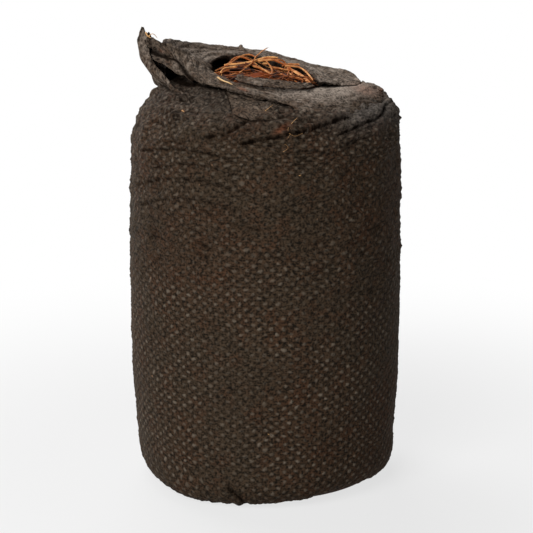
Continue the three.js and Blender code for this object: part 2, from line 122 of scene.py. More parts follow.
# Azimuth, then radius and rise over the crown of the mouth's edge, the middle and the crest, and
# how far the cloth hangs down outside the crest
FRONT_CUFF = [
    (174, 11.2, 1.2, 16, 3.2, 20.6, 4.8, 1.2),
    (180, 10.8, 0.9, 15.5, 3.2, 22, 6.1, 1.6),
    (185, 10.7, 0.8, 15, 3.1, 21.4, 5.9, 1.4),
    (189, 10.7, 0.6, 14.2, 2.9, 18, 5.2, 2),
    (193, 10.6, 0.5, 13.8, 2.5, 16.4, 4, 1.7),
    (197, 10.6, 0.3, 13.2, 1.9, 15.3, 2.9, 1.9),
    (205, 10.6, -0.1, 12.9, 0.9, 14.9, 1.3, 1.4),
    (214, 10.6, -0.3, 13, 0.2, 15.1, 0.1, 0.8),
    (228, 10.8, -0.5, 13.3, -0.2, 15.5, -0.6, 0.3),
    (243, 11, -0.9, 13.5, -0.7, 16, -1, 0.25),
    (260, 11.3, -1.4, 14.2, -1.5, 17, -1.7, 0.2),
    (272, 11.9, -1.6, 15.2, -1.8, 18.8, -2.3, 0.2),
    (284, 12.6, -1.8, 16.4, -2.2, 20.2, -3.1, 0.2),
    (304, 13.6, -2, 17.8, -2.6, 21.6, -3.9, 0.2),
    (326, 14.1, -2.2, 18.2, -2.7, 22, -3.9, 0.2),
    (345, 15.6, -2.6, 19, -2.9, 22, -3.8, 0.2),
    (358, 18.4, -2.7, 20.4, -2.9, 22.2, -3.8, 0.2),
]

# The same with the crest in place of the free edge, and the radius of the foot outside it
BACK_CUFF = [
    (-5, 13, -2.4, 14.6, -2.6, 16.1, -2.8, 16.4),
    (6, 10.9, -2.4, 14.4, -2.6, 17.5, -2.8, 18),
    (20, 10.4, -2.1, 14.8, -2.5, 18.6, -2.8, 19.2),
    (38, 10.4, -1.1, 15.4, -1.8, 20, -2.3, 20.6),
    (56, 10.5, -0.4, 15.6, -1.2, 20.3, -1.9, 21),
    (72, 10.6, -0.2, 15.5, -0.5, 20, -1.1, 20.9),
    (89, 10.7, 0.7, 15.4, 0.7, 19.8, 0.4, 20.7),
    (102.6, 10.8, 1.2, 15.3, 1.2, 19.5, 1.15, 20.4),
    (104.6, 10.8, 1.3, 15.3, 1.3, 19.5, 1.8, 20.4),
    (106.6, 10.8, 1.3, 15.3, 1.4, 19.5, 1.3, 20.4),
    (120, 10.9, 1.6, 15.2, 1.7, 19.2, 1.9, 20.2),
    (142, 11.3, 1.6, 15.4, 2.1, 19.2, 3.4, 20),
    (158, 11.3, 1.3, 15.6, 2.2, 19.4, 4.6, 20),
    (166.5, 11.2, 1, 15.5, 2.4, 19.7, 5, 20.1),
    (168.5, 11.2, 0.9, 15.5, 2, 19.8, 3.4, 20.3),
    (172, 11.2, 0.4, 15.5, 1.2, 19.6, 2.4, 20.6),
    (180, 11.2, 0, 15, 0.8, 18.4, 1, 19.2),
]

# Azimuth, radius of the foot, radius and rise of the top edge, and the belly between them
EAR = [
    (221, 16.9, 17.1, -1.2, 0.1),
    (208, 17.2, 17.9, -0.9, 0.2),
    (198, 17.5, 19, 0, 0.5),
    (191, 17.8, 20.7, 1.3, 1.3),
    (188, 18, 21.6, 2.8, 1.8),
    (186, 18.2, 22, 4.3, 2.1),
    (184.5, 18.4, 22.2, 5.6, 2.3),
    (183, 18.6, 22.3, 6.7, 2.4),
    (181.6, 18.8, 22.7, 7.7, 2.5),
    (180, 19, 23.2, 8.35, 2.4),
    (177, 19.6, 22.6, 7, 2),
    (174.6, 20, 21.8, 6.7, 1.5),
    (172.5, 20.3, 22.2, 5.2, 1.2),
    (168, 20.6, 22.2, 4.5, 0.8),
    (163, 20.9, 21.8, 4.2, 0.4),
    (156, 21, 21.3, 3.6, 0.2),
]

# Azimuth, then radius and rise of the root and of the edge
TONGUE = [
    (181.5, 20.6, 5, 22.4, 3.6),
    (184, 19.6, 4.5, 21.7, 2.7),
    (186.5, 18, 4.2, 20.5, 1.8),
    (190, 16.4, 3.4, 18.8, 0.9),
    (194, 15, 2.1, 17.5, 0.3),
    (200, 14, 0.6, 16.3, -0.4),
    (207, 13.6, -0.5, 15.4, -1),
]
FRONT_LIP = [
    (242, 11.4, 0.2, 10.5, 0.6),
    (252, 12.2, -0.1, 10.8, 0.4),
    (264, 13, -0.3, 11, 0.2),
    (279, 13.7, -0.6, 11.7, -0.1),
    (294, 14.3, -0.9, 12.5, -0.5),
    (308, 14.1, -1.1, 13.3, -0.9),
]

# Azimuth, then the inner and the outer radius of cloth that lies flat on the shoulder, how far it
# runs in under the cuff, and the space it needs
CORNER_FOLD = [
    (2, 20, 22.4),
    (8, 19.6, 22.8),
    (15, 20.2, 22.9),
    (21, 21.2, 22.6),
]
CORNER_RUNS_IN = 1.2
CORNER_SPACE = 0.4

# How deep the cloth that ends on the shoulder sinks into it, and where along it that begins and is
# full; how far the tongue and the lip run on behind their roots, as a share of their depth
CUFF_SINKS = 1.5
EAR_SINKS = 1.7
EAR_SINKS_BETWEEN = (191, 203)
EAR_FOOT_SINKS = 0.3
TUCK_SINKS = 1.1
TUCK_SINKS_BETWEEN = (0.62, 0.95)
TONGUE_ROOT = 0.12
LIP_ROOT = 0.5

# Azimuth and the core's rise over the crown in the mouth
MOUND = [
    (0, -2.8),
    (45, -2.4),
    (90, -1.8),
    (135, -3.6),
    (180, -2),
    (225, -1.2),
    (270, -1),
    (315, -1.4),
    (360, -2.8),
]

# Each fibre's name, its radius at either end and its route: x, y and the rise over the crown
FIBRES = [
    ("long_pale", 0.34, 0.2, [
        (-8, 4.5, 0.3), (-5.3, 4.7, 0.5), (-2.6, 5.2, 0.8), (0.1, 6.2, 1.3), (2, 6.8, 1.2),
        (3.6, 7.2, 0.5), (4.6, 7.4, -1.2)]),
    ("back_stick", 0.26, 0.12, [
        (-5.6, 2.6, -2.4), (-4.2, 2.9, -0.1), (-2.9, 3.6, 0.6), (-1.3, 5.8, 2.3), (0.4, 7.4, 3.3)]),
    ("left_arch", 0.2, 0.18, [
        (-7.4, 6.2, -0.3), (-6.3, 7, 1.1), (-4.7, 7.6, 1.4), (-2.8, 7.8, 0.6), (-1.3, 7.4, -0.4),
        (0.3, 6.4, -1.2)]),
    ("left_low", 0.24, 0.16, [
        (-8, -1.4, -1.5), (-8.4, 0.4, -0.3), (-7.2, 2.2, 0.2), (-4.9, 3.6, 0.3)]),
    ("mid_cross", 0.2, 0.16, [
        (-1.2, 3.5, -0.3), (0.2, 3.6, -0.7), (1.6, 3.5, -1.2), (2.4, 3.5, -1.7)]),
    ("mid_kink", 0.2, 0.16, [
        (-0.6, 5.3, 0.5), (0.5, 5.4, 0.4), (1.3, 5.2, -0.8), (1.8, 5, -1.6)]),
    ("right_over", 0.22, 0.16, [
        (1.4, 3.2, -0.1), (3.2, 3.6, -0.5), (5.1, 3.6, -0.7), (6.8, 3.4, -1.9)]),
    ("right_top", 0.22, 0.12, [
        (3.6, 6.2, -0.5), (5, 6, 0.2), (6.6, 5.6, 0.4)]),
    ("right_bow", 0.2, 0.16, [
        (3.8, 5, -0.1), (5.9, 4.9, 0), (7.9, 4.2, -0.9), (8.8, 2.4, -2.4), (8.8, 1.6, -3.1)]),
    ("right_bundle", 0.36, 0.24, [
        (4.5, 2, 0.2), (5.8, 0.4, -0.6), (7.3, -1.4, -1.3), (8.6, -3.6, -1.8)]),
    ("right_low", 0.26, 0.16, [
        (4.3, 0.4, -0.6), (5.6, -1.2, -1.1), (6.9, -3, -1.5)]),
    ("front_curl", 0.2, 0.16, [
        (-6.2, -5, -0.6), (-5.2, -5.6, -0.3), (-4.2, -5.6, -0.6)]),
    ("front_left", 0.2, 0.14, [
        (-7.4, -3.2, -1.1), (-6.2, -3.6, -0.6), (-5, -3.4, -0.7)]),
]
STRAW_ROUTE = [(-8.95, -10.3, 0.25), (-8, -11.6, 0), (-7, -12.8, -0.25), (-6, -13.9, -0.45)]
EAR_FIBRE_ROUTE = [(-22.6, -1.2, 7.4), (-22.3, -1.2, 6.9), (-21.9, -1.15, 6.55), (-21.5, -1.1, 6.35)]
EAR_HAIR_ROUTE = [(-22, -1.15, 6.6), (-21.4, -1.1, 7.05), (-20.85, -1.05, 6.85), (-20.4, -1, 6.2)]

# How far behind the axis the coir lies that the camera sees at a row of pixels
MOUND_SIGHT = [
    (52, 8.5), (57, 6.5), (62, 5), (66, 3.5), (70, 2), (74, -1), (78, -3.5), (81, -5.5), (86, -7.5)]

# More strands of the mouth: a route in pixels of the photograph, the strand's radius and its tone
SEEN_STRANDS = [
    ([(215, 71), (227, 65.5), (239, 57.5), (248, 54.5), (256, 57)], 0.17, 0.6),
    ([(227, 67), (233, 59), (241, 57), (251, 61), (259, 68), (268, 72)], 0.16, 0.62),
    ([(224, 65), (238, 64), (252, 61.5), (266, 57.5), (278, 57.5)], 0.2, 0.86),
    ([(253, 66), (262, 69), (270, 73.5)], 0.2, 0.7),
    ([(266, 61), (271, 67), (272, 73), (269, 80)], 0.15, 0.66),
    ([(270, 73), (274, 80.5)], 0.14, 0.62),
    ([(272, 67), (285, 69.5), (296, 71)], 0.18, 0.6),
    ([(282, 66), (290, 64), (300, 65)], 0.15, 0.66),
    ([(285, 66), (298, 67), (306, 72), (313, 80)], 0.17, 0.68),
    ([(287, 68), (298, 73), (307, 80), (311, 84.5)], 0.24, 0.66),
    ([(291, 70), (302, 77), (309, 84)], 0.18, 0.74),
    ([(289, 71), (286, 79)], 0.15, 0.6),
    ([(293, 71), (290, 80)], 0.13, 0.5),
    ([(209, 70), (213, 72), (219, 76.5)], 0.16, 0.72),
    ([(211, 73.5), (220, 72), (231, 68.5), (240, 66)], 0.15, 0.58),
    ([(217, 75), (228, 70), (238, 67)], 0.14, 0.64),
    ([(226, 78.5), (233, 80.5), (240, 79.5)], 0.13, 0.5),
    ([(275, 75), (280, 73), (284, 79)], 0.15, 0.64),
    ([(236, 76), (246, 68), (256, 60)], 0.18, 0.72),
    ([(262, 58), (272, 59.5), (281, 63), (288, 66)], 0.2, 0.45),
    ([(258, 61), (270, 60), (280, 60.5)], 0.22, 0.72),
    ([(222, 69), (232, 72), (243, 71.5)], 0.13, 0.26),
    ([(244, 71), (254, 70), (263, 73)], 0.13, 0.28),
    ([(276, 71), (287, 76), (298, 79)], 0.13, 0.26),
    ([(220, 70), (233, 67), (246, 66.5)], 0.22, 0.14),
    ([(225, 67.5), (237, 66), (250, 68)], 0.18, 0.12),
    ([(229, 69.5), (242, 69), (255, 70.5)], 0.22, 0.08),
    ([(232, 62.5), (243, 62.5), (254, 66)], 0.18, 0.14),
    ([(236, 66), (247, 64.5), (258, 65.5)], 0.2, 0.08),
]

# Hairs of coir on the sleeve in the same form, and how far their middles lie off it
HAIR_LIFT = 1.0
SEEN_HAIRS = [
    ([(297, 118), (292, 123), (288, 129), (290, 134), (296, 136), (303, 133)], 0.05, 0.35),
    ([(289, 124), (291, 131), (288, 138)], 0.04, 0.35),
    ([(265, 111), (270, 107), (273, 105)], 0.06, 0.5),
    ([(283, 152), (288, 148), (285, 144)], 0.04, 0.4),
    ([(242, 90.6), (246, 91.4)], 0.1, 0),
    ([(182, 110.4), (183, 111), (184, 111.8)], 0.16, 0.4),
    ([(299, 176), (301, 175)], 0.08, 0.5),
    ([(268, 434), (269.5, 435)], 0.1, 0.4),
]

# The husk chip leans back on the mound
CHIP_CENTRE = (-1, -6.6, -0.8)
CHIP_WIDTH = 4.6
CHIP_HEIGHT = 2.2
CHIP_BOW = 0.7
CHIP_LEAN = 35.0

# The base's edge is pressed up at one side and sags at another, and the foot is drawn in at the
# left: how much, at which azimuth, and how many degrees to either side
BASE_LIFT = 1.2
BASE_LIFT_AZIMUTH = 313.0
BASE_LIFT_WIDTH = 37.0
BASE_LIFT_HEIGHT = 14.0
BASE_SAG = 0.5
BASE_SAG_AZIMUTH = 233.0
BASE_SAG_WIDTH = 16.0
FOOT_PINCH = 0.45
FOOT_PINCH_AZIMUTH = 186.0
FOOT_PINCH_WIDTH = 34.0

# The camera of the photograph, and how many pixels a millimetre takes up at the plug's axis
CAMERA_DISTANCE = 400.0
CAMERA_RISE = math.radians(14.25)
CAMERA_FOCAL = 139.1
CAMERA_AIM = (0.19, 0, 41.6)
SENSOR_WIDTH = 36.0
PHOTO_SIZE = 533
FOCAL_PIXELS = CAMERA_FOCAL / SENSOR_WIDTH * PHOTO_SIZE
PIXELS_PER_MM = PHOTO_SIZE * CAMERA_FOCAL / SENSOR_WIDTH / CAMERA_DISTANCE

# Creases of the front as lines of pixels in the photograph's frame, then the groove's depth and
# the width of the fold above it in millimetres
SEEN_CREASES = [
    ([(200, 141), (212, 137.5), (228, 133), (242, 127), (248, 119)], 0.36, 2.2),
    ([(228, 147), (245, 144.5), (257, 142), (276, 139), (290, 135.5), (305, 132), (322, 127.5), (338, 122.5),
      (354, 118.5)], 0.52, 2.6),
    ([(332, 138), (348, 132), (362, 125.5), (373, 121), (381, 116), (386, 106)], 0.46, 2),
    ([(233, 115), (245, 119.5), (253, 121.5), (267, 121.5), (280, 120), (294, 119)], 0.26, 0.9),
    ([(158, 104), (176, 100), (196, 103)], 0.25, 1.2),
    ([(338, 148), (356, 143), (376, 135)], 0.22, 1.4),
    ([(385, 106), (392, 102)], 0.3, 0.8),
    ([(226, 484), (235, 494), (244, 502)], 0.45, 1.2),
    ([(137, 152), (168, 150), (204, 154), (238, 164)], 0.28, 1.6),
    ([(150, 169), (188, 165), (226, 172)], 0.24, 1.2),
    ([(134, 187), (164, 180), (200, 182), (234, 191)], 0.3, 1.4),
    ([(136, 207), (170, 199), (206, 203), (242, 213)], 0.28, 1.4),
    ([(270, 158), (304, 152), (340, 156)], 0.22, 1.4),
    ([(345, 296), (372, 292), (398, 296)], 0.2, 1.4),
]
CREASE_STEPS = 48

# Slight folds strewn over the shoulder: how many, the columns and rows of pixels they start in, and
# how many pixels long they are
SMALL_FOLDS = 34
SMALL_FOLD_COLUMNS = (150, 370)
SMALL_FOLD_ROWS = (98, 152)
SMALL_FOLD_REACH = (9, 26)

# Creases of the sides and the back: azimuth and height, then the same two numbers
HIDDEN_CREASES = [
    ([(14, 73.4), (44, 71.6), (74, 71)], 0.26, 1.8),
    ([(98, 70.2), (126, 70.4), (156, 72.6)], 0.26, 1.8),
    ([(56, 75), (78, 73.4), (104, 73.2)], 0.22, 1.4),
    ([(136, 73.4), (152, 74.2), (172, 75.4)], 0.22, 1.4),
    ([(2, 70), (22, 68.2), (46, 67.4)], 0.2, 1.6),
]

# The tuck under the front cuff: pixels of its upper side, which the cuff hides, and its lower side
TUCK_TOP = [(224, 86), (245, 90), (262, 95), (280, 101), (300, 108)]
TUCK_FOOT = [(233, 114), (243, 118), (253, 120.5), (267, 120), (282, 117.5), (300, 114.5)]
TUCK_LIFT = 0.45

# Marks on the fleece in the camera's view: the middle's pixel, the reach along and across in
# pixels, how far the mark is turned, and its strength
RUST_MARKS = [
    ((282.5, 128.5), (8, 3), 32, 0.8),
    ((381, 90.5), (1.6, 2.4), 0, 0.6),
    ((183, 111), (1.2, 1), 0, 1),
    ((161, 51), (2.6, 1.6), -30, 0.5),
    ((243, 89.4), (5, 1.2), -20, 0.9),
]
PINK_MARKS = [((366, 90), (14, 5), -14, 0.9)]
PALE_MARKS = [((372, 112), (34, 16), 20, 0.4), ((330, 99), (40, 8), -6, 0.25)]
# Painted shade: dark marks where the hollows under the folds lie in shade
HOLLOW_SHADE_MARKS = [
    ((214, 103), (12, 7), 0, 0.4),
    ((178, 93), (13, 5), -25, 0.45),
    ((166, 95), (12, 3), 25, 0.35),
    ((192, 112), (34, 1.3), -3, 0.4),
]

# Hollows between the folds that no light reaches, as lines: a pixel and the half width there in
# pixels for each point, then the strength
DARK_HOLLOWS = [
    ([(150, 51.5, 1.6), (156, 53.5, 2.6), (163, 56.5, 1.8), (170, 58.8, 1.2), (176, 60.5, 1.4),
      (181, 66, 2), (186, 73, 2.4), (191, 79, 2), (197, 83, 1.6)], 1.3),
    ([(151, 60, 1), (158, 66, 2), (166, 71.5, 3), (173, 77, 4), (181, 81.5, 4.2), (188, 84.5, 3),
      (197, 85, 1.6)], 1.5),
    ([(194, 84, 1.5), (207, 87.4, 1.1), (226, 89.2, 1), (250, 94.8, 1), (270, 100.2, 1),
      (289, 105.6, 0.8)], 1.2),
    ([(312, 86.6, 0.8), (325, 86.9, 1), (340, 86.2, 0.9), (357, 85.2, 0.6)], 1.3),
    ([(225.5, 91, 0.9), (229, 101, 1), (232, 112, 0.8)], 1),
    ([(180, 88, 0.9), (185, 94, 1.1), (191, 103, 0.6)], 0.95),
    ([(234, 115, 0.6), (243, 118.6, 1), (253, 120.6, 1.1), (267, 120.6, 1), (284, 118, 0.6)], 0.85),
    ([(152, 108, 0.7), (176, 112, 0.9), (205, 113, 0.9), (232, 113.4, 0.6)], 0.5),
    ([(163, 43.5, 0.7), (172, 47.5, 1), (182, 52, 1.2), (192, 53.6, 1), (204, 54, 0.5)], 0.6),
    ([(148.6, 37, 0.6), (150.6, 42, 0.9), (151, 48, 1.1), (151.6, 53, 1)], 0.85),
    ([(149, 31.5, 0.9), (150.8, 34.5, 1.3), (150, 38, 0.9)], 1.1),
    ([(157, 82, 0.8), (163, 86, 1.4), (171, 90, 1.4), (179, 92, 0.8)], 0.8),
    ([(226.5, 487, 0.8), (231, 491.5, 1.5), (236, 494.5, 1), (241, 499, 1.5), (244, 503, 0.9)], 1.2),
    ([(308, 69, 0.5), (326, 72.5, 0.8), (345, 78, 0.5)], 0.35),
    ([(318, 79, 0.6), (334, 82, 0.9), (350, 83.5, 0.5)], 0.4),
    ([(329, 75, 0.5), (331, 80, 0.8), (330, 85, 0.5)], 0.3),
    ([(186, 89, 0.7), (190, 95, 0.9), (194.5, 102, 0.5)], 0.85),
    ([(171, 88, 1.5), (176, 92, 1.8), (181, 97, 0.8)], 0.6),
]

# Colours of the fleece in the photograph's 0 to 255 steps: its dots, its fibres, the gaps between
# them, coir dust, pale cloth, bluish dark cloth and the pink mark
WALL_COLOURS = [
    (111, 100, 87), (69, 56, 43), (26, 20, 13), (76, 51, 35), (124, 119, 114), (30, 30, 34),
    (150, 122, 108)]
# The folds' colours are lighter than the wall's: partly paler, less dusty cloth and partly painted light, as
# the folds face up to the lamps
FOLD_COLOURS = [
    (133, 119, 105), (107, 93, 80), (38, 31, 25), (88, 65, 49), (172, 158, 145), (46, 47, 52),
    (160, 130, 114)]
FLEECE_SPECULAR = 0.1

# Each lamp's name, place and size in millimetres, and its power
LAMPS = [
    ("front_left", (-290, -610, 430), 400, 5.0),
    ("rim_left", (-520, 520, 260), 420, 2.35),
    ("overhead", (-160, 360, 640), 420, 2.8),
]
WORLD_LIGHT = 0.01
FLOOR_HALF = 3000.0


# Shapes

def curve_through(points, share):
    """A Catmull-Rom curve through the points of the first axis, at shares from 0 to 1 of the way."""
    points = np.asarray(points, float)
    share = np.asarray(share, float)
    place = np.clip(share, 0, 1) * (len(points) - 1)
    i = np.minimum(place.astype(int), len(points) - 2)
    t = (place - i).reshape(share.shape + (1,) * (points.ndim - 1))
    before, here = points[np.maximum(i - 1, 0)], points[i]
    after, later = points[i + 1], points[np.minimum(i + 2, len(points) - 1)]
    slope_here, slope_next = (after - before) / 2, (later - here) / 2
    bend = 2 * (here - after) + slope_here + slope_next
    lean = 3 * (after - here) - 2 * slope_here - slope_next
    return here + t * (slope_here + t * (lean + t * bend))


def waves(points, size, seed, count=16):
    """Smooth noise from about -1 to 1: a sum of plane waves about size long in random directions."""
    rng = np.random.default_rng(seed)
    total = np.zeros(points.shape[:-1])
    for _ in range(count):
        direction = rng.normal(size=points.shape[-1])
        direction /= np.linalg.norm(direction) * size * rng.uniform(0.7, 1.5)
        total += np.sin(2 * np.pi * (points @ direction) + rng.uniform(0, 2 * np.pi))
    return total / math.sqrt(count)


def smooth(value, low, high):
    """0 below low and 1 above high, with a smooth rise between them."""
    t = np.clip((value - low) / (high - low), 0, 1)
    return t * t * (3 - 2 * t)


def unit(vectors):
    """Vectors made one long."""
    return vectors / np.maximum(np.linalg.norm(vectors, axis=-1, keepdims=True), 1e-12)


def turn_between(azimuth, middle):
    """Degrees from a middle azimuth, the short way round."""
    return (azimuth - middle + 180) % 360 - 180


def swell(azimuth, middle, width):
    """1 at a middle azimuth, falling away over a width in degrees to either side."""
    return np.exp(-(turn_between(azimuth, middle) / width) ** 2)


def flat_waves(across, up, seed):
    """Noise whose features are one long on a flat pattern."""
    return waves(np.stack([across, up], -1), 1.0, seed)


def polar(azimuth, radius, height):
    """Points at azimuths, radii and heights."""
    azimuth, radius, height = np.broadcast_arrays(azimuth, radius, height)
    turn = np.radians(azimuth)
    return np.stack([radius * np.cos(turn), radius * np.sin(turn), height], -1)


def shoulder_numbers(azimuth):
    """Height of the shoulder's start, height of the mouth's edge, and squareness, at azimuths."""
    numbers = curve_through(SHOULDER, np.mod(azimuth, 360) / 360)
    return CROWN_HEIGHT - numbers[..., 1], CROWN_HEIGHT - numbers[..., 2], numbers[..., 3]


def shoulder_height(azimuth, radius):
    """Height of the sleeve's face on the shoulder: a superellipse from the wall to the mouth's edge."""
    start, top, squareness = shoulder_numbers(azimuth)
    reach = np.clip((radius - MOUTH_RADIUS) / (NECK_RADIUS - MOUTH_RADIUS), 0, 1)
    return start + (top - start) * (1 - reach**squareness) ** (1 / squareness)


def wall_radius(azimuth, height):
    """Radius of the barrel: widest a little above its middle, drawn in by the square of the way to
    its foot and its neck, and pressed in under the lap."""
    start = shoulder_numbers(azimuth)[0]
    share = (height - BASE_ROUND) / (start - BASE_ROUND)
    low = np.clip(WIDEST_SHARE - share, 0, WIDEST_SHARE) / WIDEST_SHARE
    high = np.clip(share - WIDEST_SHARE, 0, 1 - WIDEST_SHARE) / (1 - WIDEST_SHARE)
    fade = np.clip(np.minimum(share, 1 - share) / LAP_SEAT_SHARE, 0, 1)
    off_lap = np.maximum(np.abs(turn_between(azimuth, LAP_AZIMUTH)) - LAP_SEAT_ANGLE, 0)
    seat = (CLEARANCE + LAP_THICKNESS) * fade * np.clip(1 - off_lap / LAP_SEAT_ANGLE, 0, 1)
    return PLUG_RADIUS - FOOT_DRAW * low**2 - NECK_DRAW * high**2 - seat


def quarter(turn, squareness):
    """Across and up shares of a superellipse at an angle seen from its middle."""
    across, up = np.cos(turn), np.sin(turn)
    reach = (np.abs(across)**squareness + np.abs(up)**squareness) ** (-1 / squareness)
    return across * reach, up * reach


def sleeve_outline(azimuth, stage, inset=0.0):
    """Radius and height of the sleeve's face: stages 0 to 1 run out along the base, 1 to 2 round
    its edge, 2 to 3 up the barrel, and 3 to 4 over the shoulder to the mouth's edge."""
    azimuth, stage = np.broadcast_arrays(azimuth, stage)
    start, top, squareness = shoulder_numbers(azimuth)
    flat_radius = FOOT_RADIUS - BASE_ROUND
    out, down = quarter(np.radians(90) * np.clip(2 - stage, 0, 1), BASE_ROUNDNESS)
    barrel_height = BASE_ROUND + (start - BASE_ROUND) * np.clip(stage - 2, 0, 1)
    inward, up = quarter(np.radians(90) * np.clip(stage - 3, 0, 1), squareness)
    radius = np.select(
        [stage < 1, stage < 2, stage < 3],
        [flat_radius * stage, flat_radius + (BASE_ROUND - inset) * out,
         wall_radius(azimuth, barrel_height) - inset],
        MOUTH_RADIUS + (NECK_RADIUS - inset - MOUTH_RADIUS) * inward)
    height = np.select(
        [stage < 1, stage < 2, stage < 3],
        [inset + 0 * stage, BASE_ROUND - (BASE_ROUND - inset) * down, barrel_height],
        start + (top - inset - start) * up)
    return radius, height


def resting_height(azimuth, radius, rise, space=FOLD_SPACE):
    """Keeps cloth that lies on the shoulder clear of the sleeve under it, square to its slope."""
    step = 0.2
    fall = shoulder_height(azimuth, radius - step) - shoulder_height(azimuth, radius + step)
    slope = np.minimum(fall / (2 * step), STEEPEST_REST)
    lowest = shoulder_height(azimuth, radius) + (CLEARANCE + space / 2) * np.hypot(1, slope)
    return np.maximum(CROWN_HEIGHT + rise, lowest)


# Meshes

def grid_faces(columns, rows, wrap=False, start=0, flip=False):
    """The quads of a grid of points, columns first. A wrapped grid closes round its columns."""
    i = np.arange(columns if wrap else columns - 1)[:, None]
    j = np.arange(rows - 1)[None, :]
    here = i * rows + j
    following = (i + 1) % columns * rows + j
    quads = np.stack([here, following, following + 1, here + 1], -1).reshape(-1, 4) + start
    return quads[:, ::-1] if flip else quads


def corner_points(mesh):
    """The number of the point at each corner of each face."""
    corners = np.empty(len(mesh.loops), np.int32)
    mesh.loops.foreach_get("vertex_index", corners)
    return corners


def new_object(name, data):
    """An object made of some data, in the scene."""
    made = bpy.data.objects.new(name, data)
    bpy.context.scene.collection.objects.link(made)
    return made


def make_piece(name, points, faces, material, nodes=(), normals=None, lattice=None, values=None):
    """A smooth mesh from points in millimetres. lattice is each point's place in the rows of
    bonded dots, and values holds a number for each point under each attribute's name."""
    mesh = bpy.data.meshes.new(name)
    mesh.from_pydata((points.reshape(-1, 3) * MM).tolist(), [], [list(face) for face in faces])
    mesh.polygons.foreach_set("use_smooth", np.ones(len(mesh.polygons), bool))
    if lattice is not None:
        layer = mesh.uv_layers.new(name="lattice")
        layer.data.foreach_set("uv", lattice.reshape(-1, 2)[corner_points(mesh)].ravel())
    for key, numbers in (values or {}).items():
        field = mesh.attributes.new(key, "FLOAT", "POINT")
        field.data.foreach_set("value", np.asarray(numbers, np.float32).ravel())
    mesh.materials.append(material)
    mesh.validate(clean_customdata=False)
    mesh.update()
    if normals is not None:
        mesh.normals_split_custom_set_from_vertices(normals.reshape(-1, 3).tolist())
    piece = new_object(name, mesh)
    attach(piece, "root")
    if nodes:
        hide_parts(*nodes)
    return piece


def lattice_at(around, along):
    """Places in the staggered rows: a dot lies wherever both numbers are whole plus a half."""
    return np.stack([around / DOT_PITCH_AROUND + along / DOT_PITCH_UP,
                     around / DOT_PITCH_AROUND - along / DOT_PITCH_UP], -1)


def dot_strength(lattice):
    """Each dot's own strength from 0 to 1, mostly weak, drawn at random from its row and place."""
    row, place = np.floor(lattice[..., 0]).astype(int), np.floor(lattice[..., 1]).astype(int)
    drawn = np.random.default_rng(5).random((256, 256))
    return drawn[row % 256, place % 256] ** 2


def dot_height(lattice):
    """Relief of the bonded dots from 0 to 1: two crossed waves that peak at each dot."""
    crossed = 0.25 * (1 - np.cos(2 * np.pi * lattice[..., 0])) * (1 - np.cos(2 * np.pi * lattice[..., 1]))
    return crossed * (0.65 + 0.35 * dot_strength(lattice))


def grid_normals(points, wrap=False):
    """Normals of a grid of points, from the differences between neighbours."""
    if wrap:
        padded = np.concatenate([points[-1:], points, points[:1]])
        along = np.gradient(padded, axis=0)[1:-1]
    else:
        along = np.gradient(points, axis=0)
    return unit(np.cross(along, np.gradient(points, axis=1)))


def pixels_of(points):
    """Where the photograph's camera sees points, in pixels of its own frame."""
    off = points - np.array(CAMERA_AIM)
    level, tilt = math.cos(CAMERA_RISE), math.sin(CAMERA_RISE)
    scale = FOCAL_PIXELS / (CAMERA_DISTANCE + off[..., 1] * level - off[..., 2] * tilt)
    up = off[..., 1] * tilt + off[..., 2] * level
    return np.stack([PHOTO_SIZE / 2 + off[..., 0] * scale, PHOTO_SIZE / 2 - up * scale], -1)


def seen_at_depth(pixels, depth):
    """Points that the camera sees at pixels, where they lie at a distance behind the axis."""
    pixels = np.asarray(pixels, float)
    level, tilt = math.cos(CAMERA_RISE), math.sin(CAMERA_RISE)
    ahead, up = np.array([0, level, -tilt]), np.array([0, tilt, level])
    eye = np.array(CAMERA_AIM) - CAMERA_DISTANCE * ahead
    ray = ahead + (PHOTO_SIZE / 2 - pixels[:, 1:]) / FOCAL_PIXELS * up
    ray[:, 0] += (pixels[:, 0] - PHOTO_SIZE / 2) / FOCAL_PIXELS
    return eye + ray * ((np.asarray(depth) - eye[1]) / ray[:, 1])[:, None]


def sleeve_radius(azimuth, height):
    """Radius of the sleeve's face at a height of the barrel or the shoulder."""
    start, top, squareness = shoulder_numbers(azimuth)
    climb = np.clip((height - start) / (top - start), 0, 1)
    shoulder = MOUTH_RADIUS + (NECK_RADIUS - MOUTH_RADIUS) * (1 - climb**squareness) ** (1 / squareness)
    return np.where(height < start, wall_radius(azimuth, height), shoulder)


def seen_on_sleeve(pixels, lift):
    """Points that the camera sees at pixels, where its rays first come within a lift of the sleeve."""
    depths = np.arange(-PLUG_RADIUS - 3, 0, 0.05)
    rays = np.stack([seen_at_depth(pixels, depth) for depth in depths], 1)
    azimuth = np.degrees(np.arctan2(rays[..., 1], rays[..., 0]))
    inside = np.hypot(rays[..., 0], rays[..., 1]) < sleeve_radius(azimuth, rays[..., 2] - lift)
    inside &= rays[..., 2] < CROWN_HEIGHT + lift
    return rays[np.arange(len(rays)), inside.argmax(1)]


def marks(points, table):
    """Soft elliptic marks on the front, from 0 to their strength, where the camera sees them."""
    seen = pixels_of(points)
    total = np.zeros(points.shape[:-1])
    for middle, reach, turn, strength in table:
        turn = math.radians(turn)
        off = seen - middle
        along = (off[..., 0] * math.cos(turn) - off[..., 1] * math.sin(turn)) / reach[0]
        across = (off[..., 0] * math.sin(turn) + off[..., 1] * math.cos(turn)) / reach[1]
        total = np.maximum(total, strength * np.exp(-along**2 - across**2) * (points[..., 1] < 6))
    return total


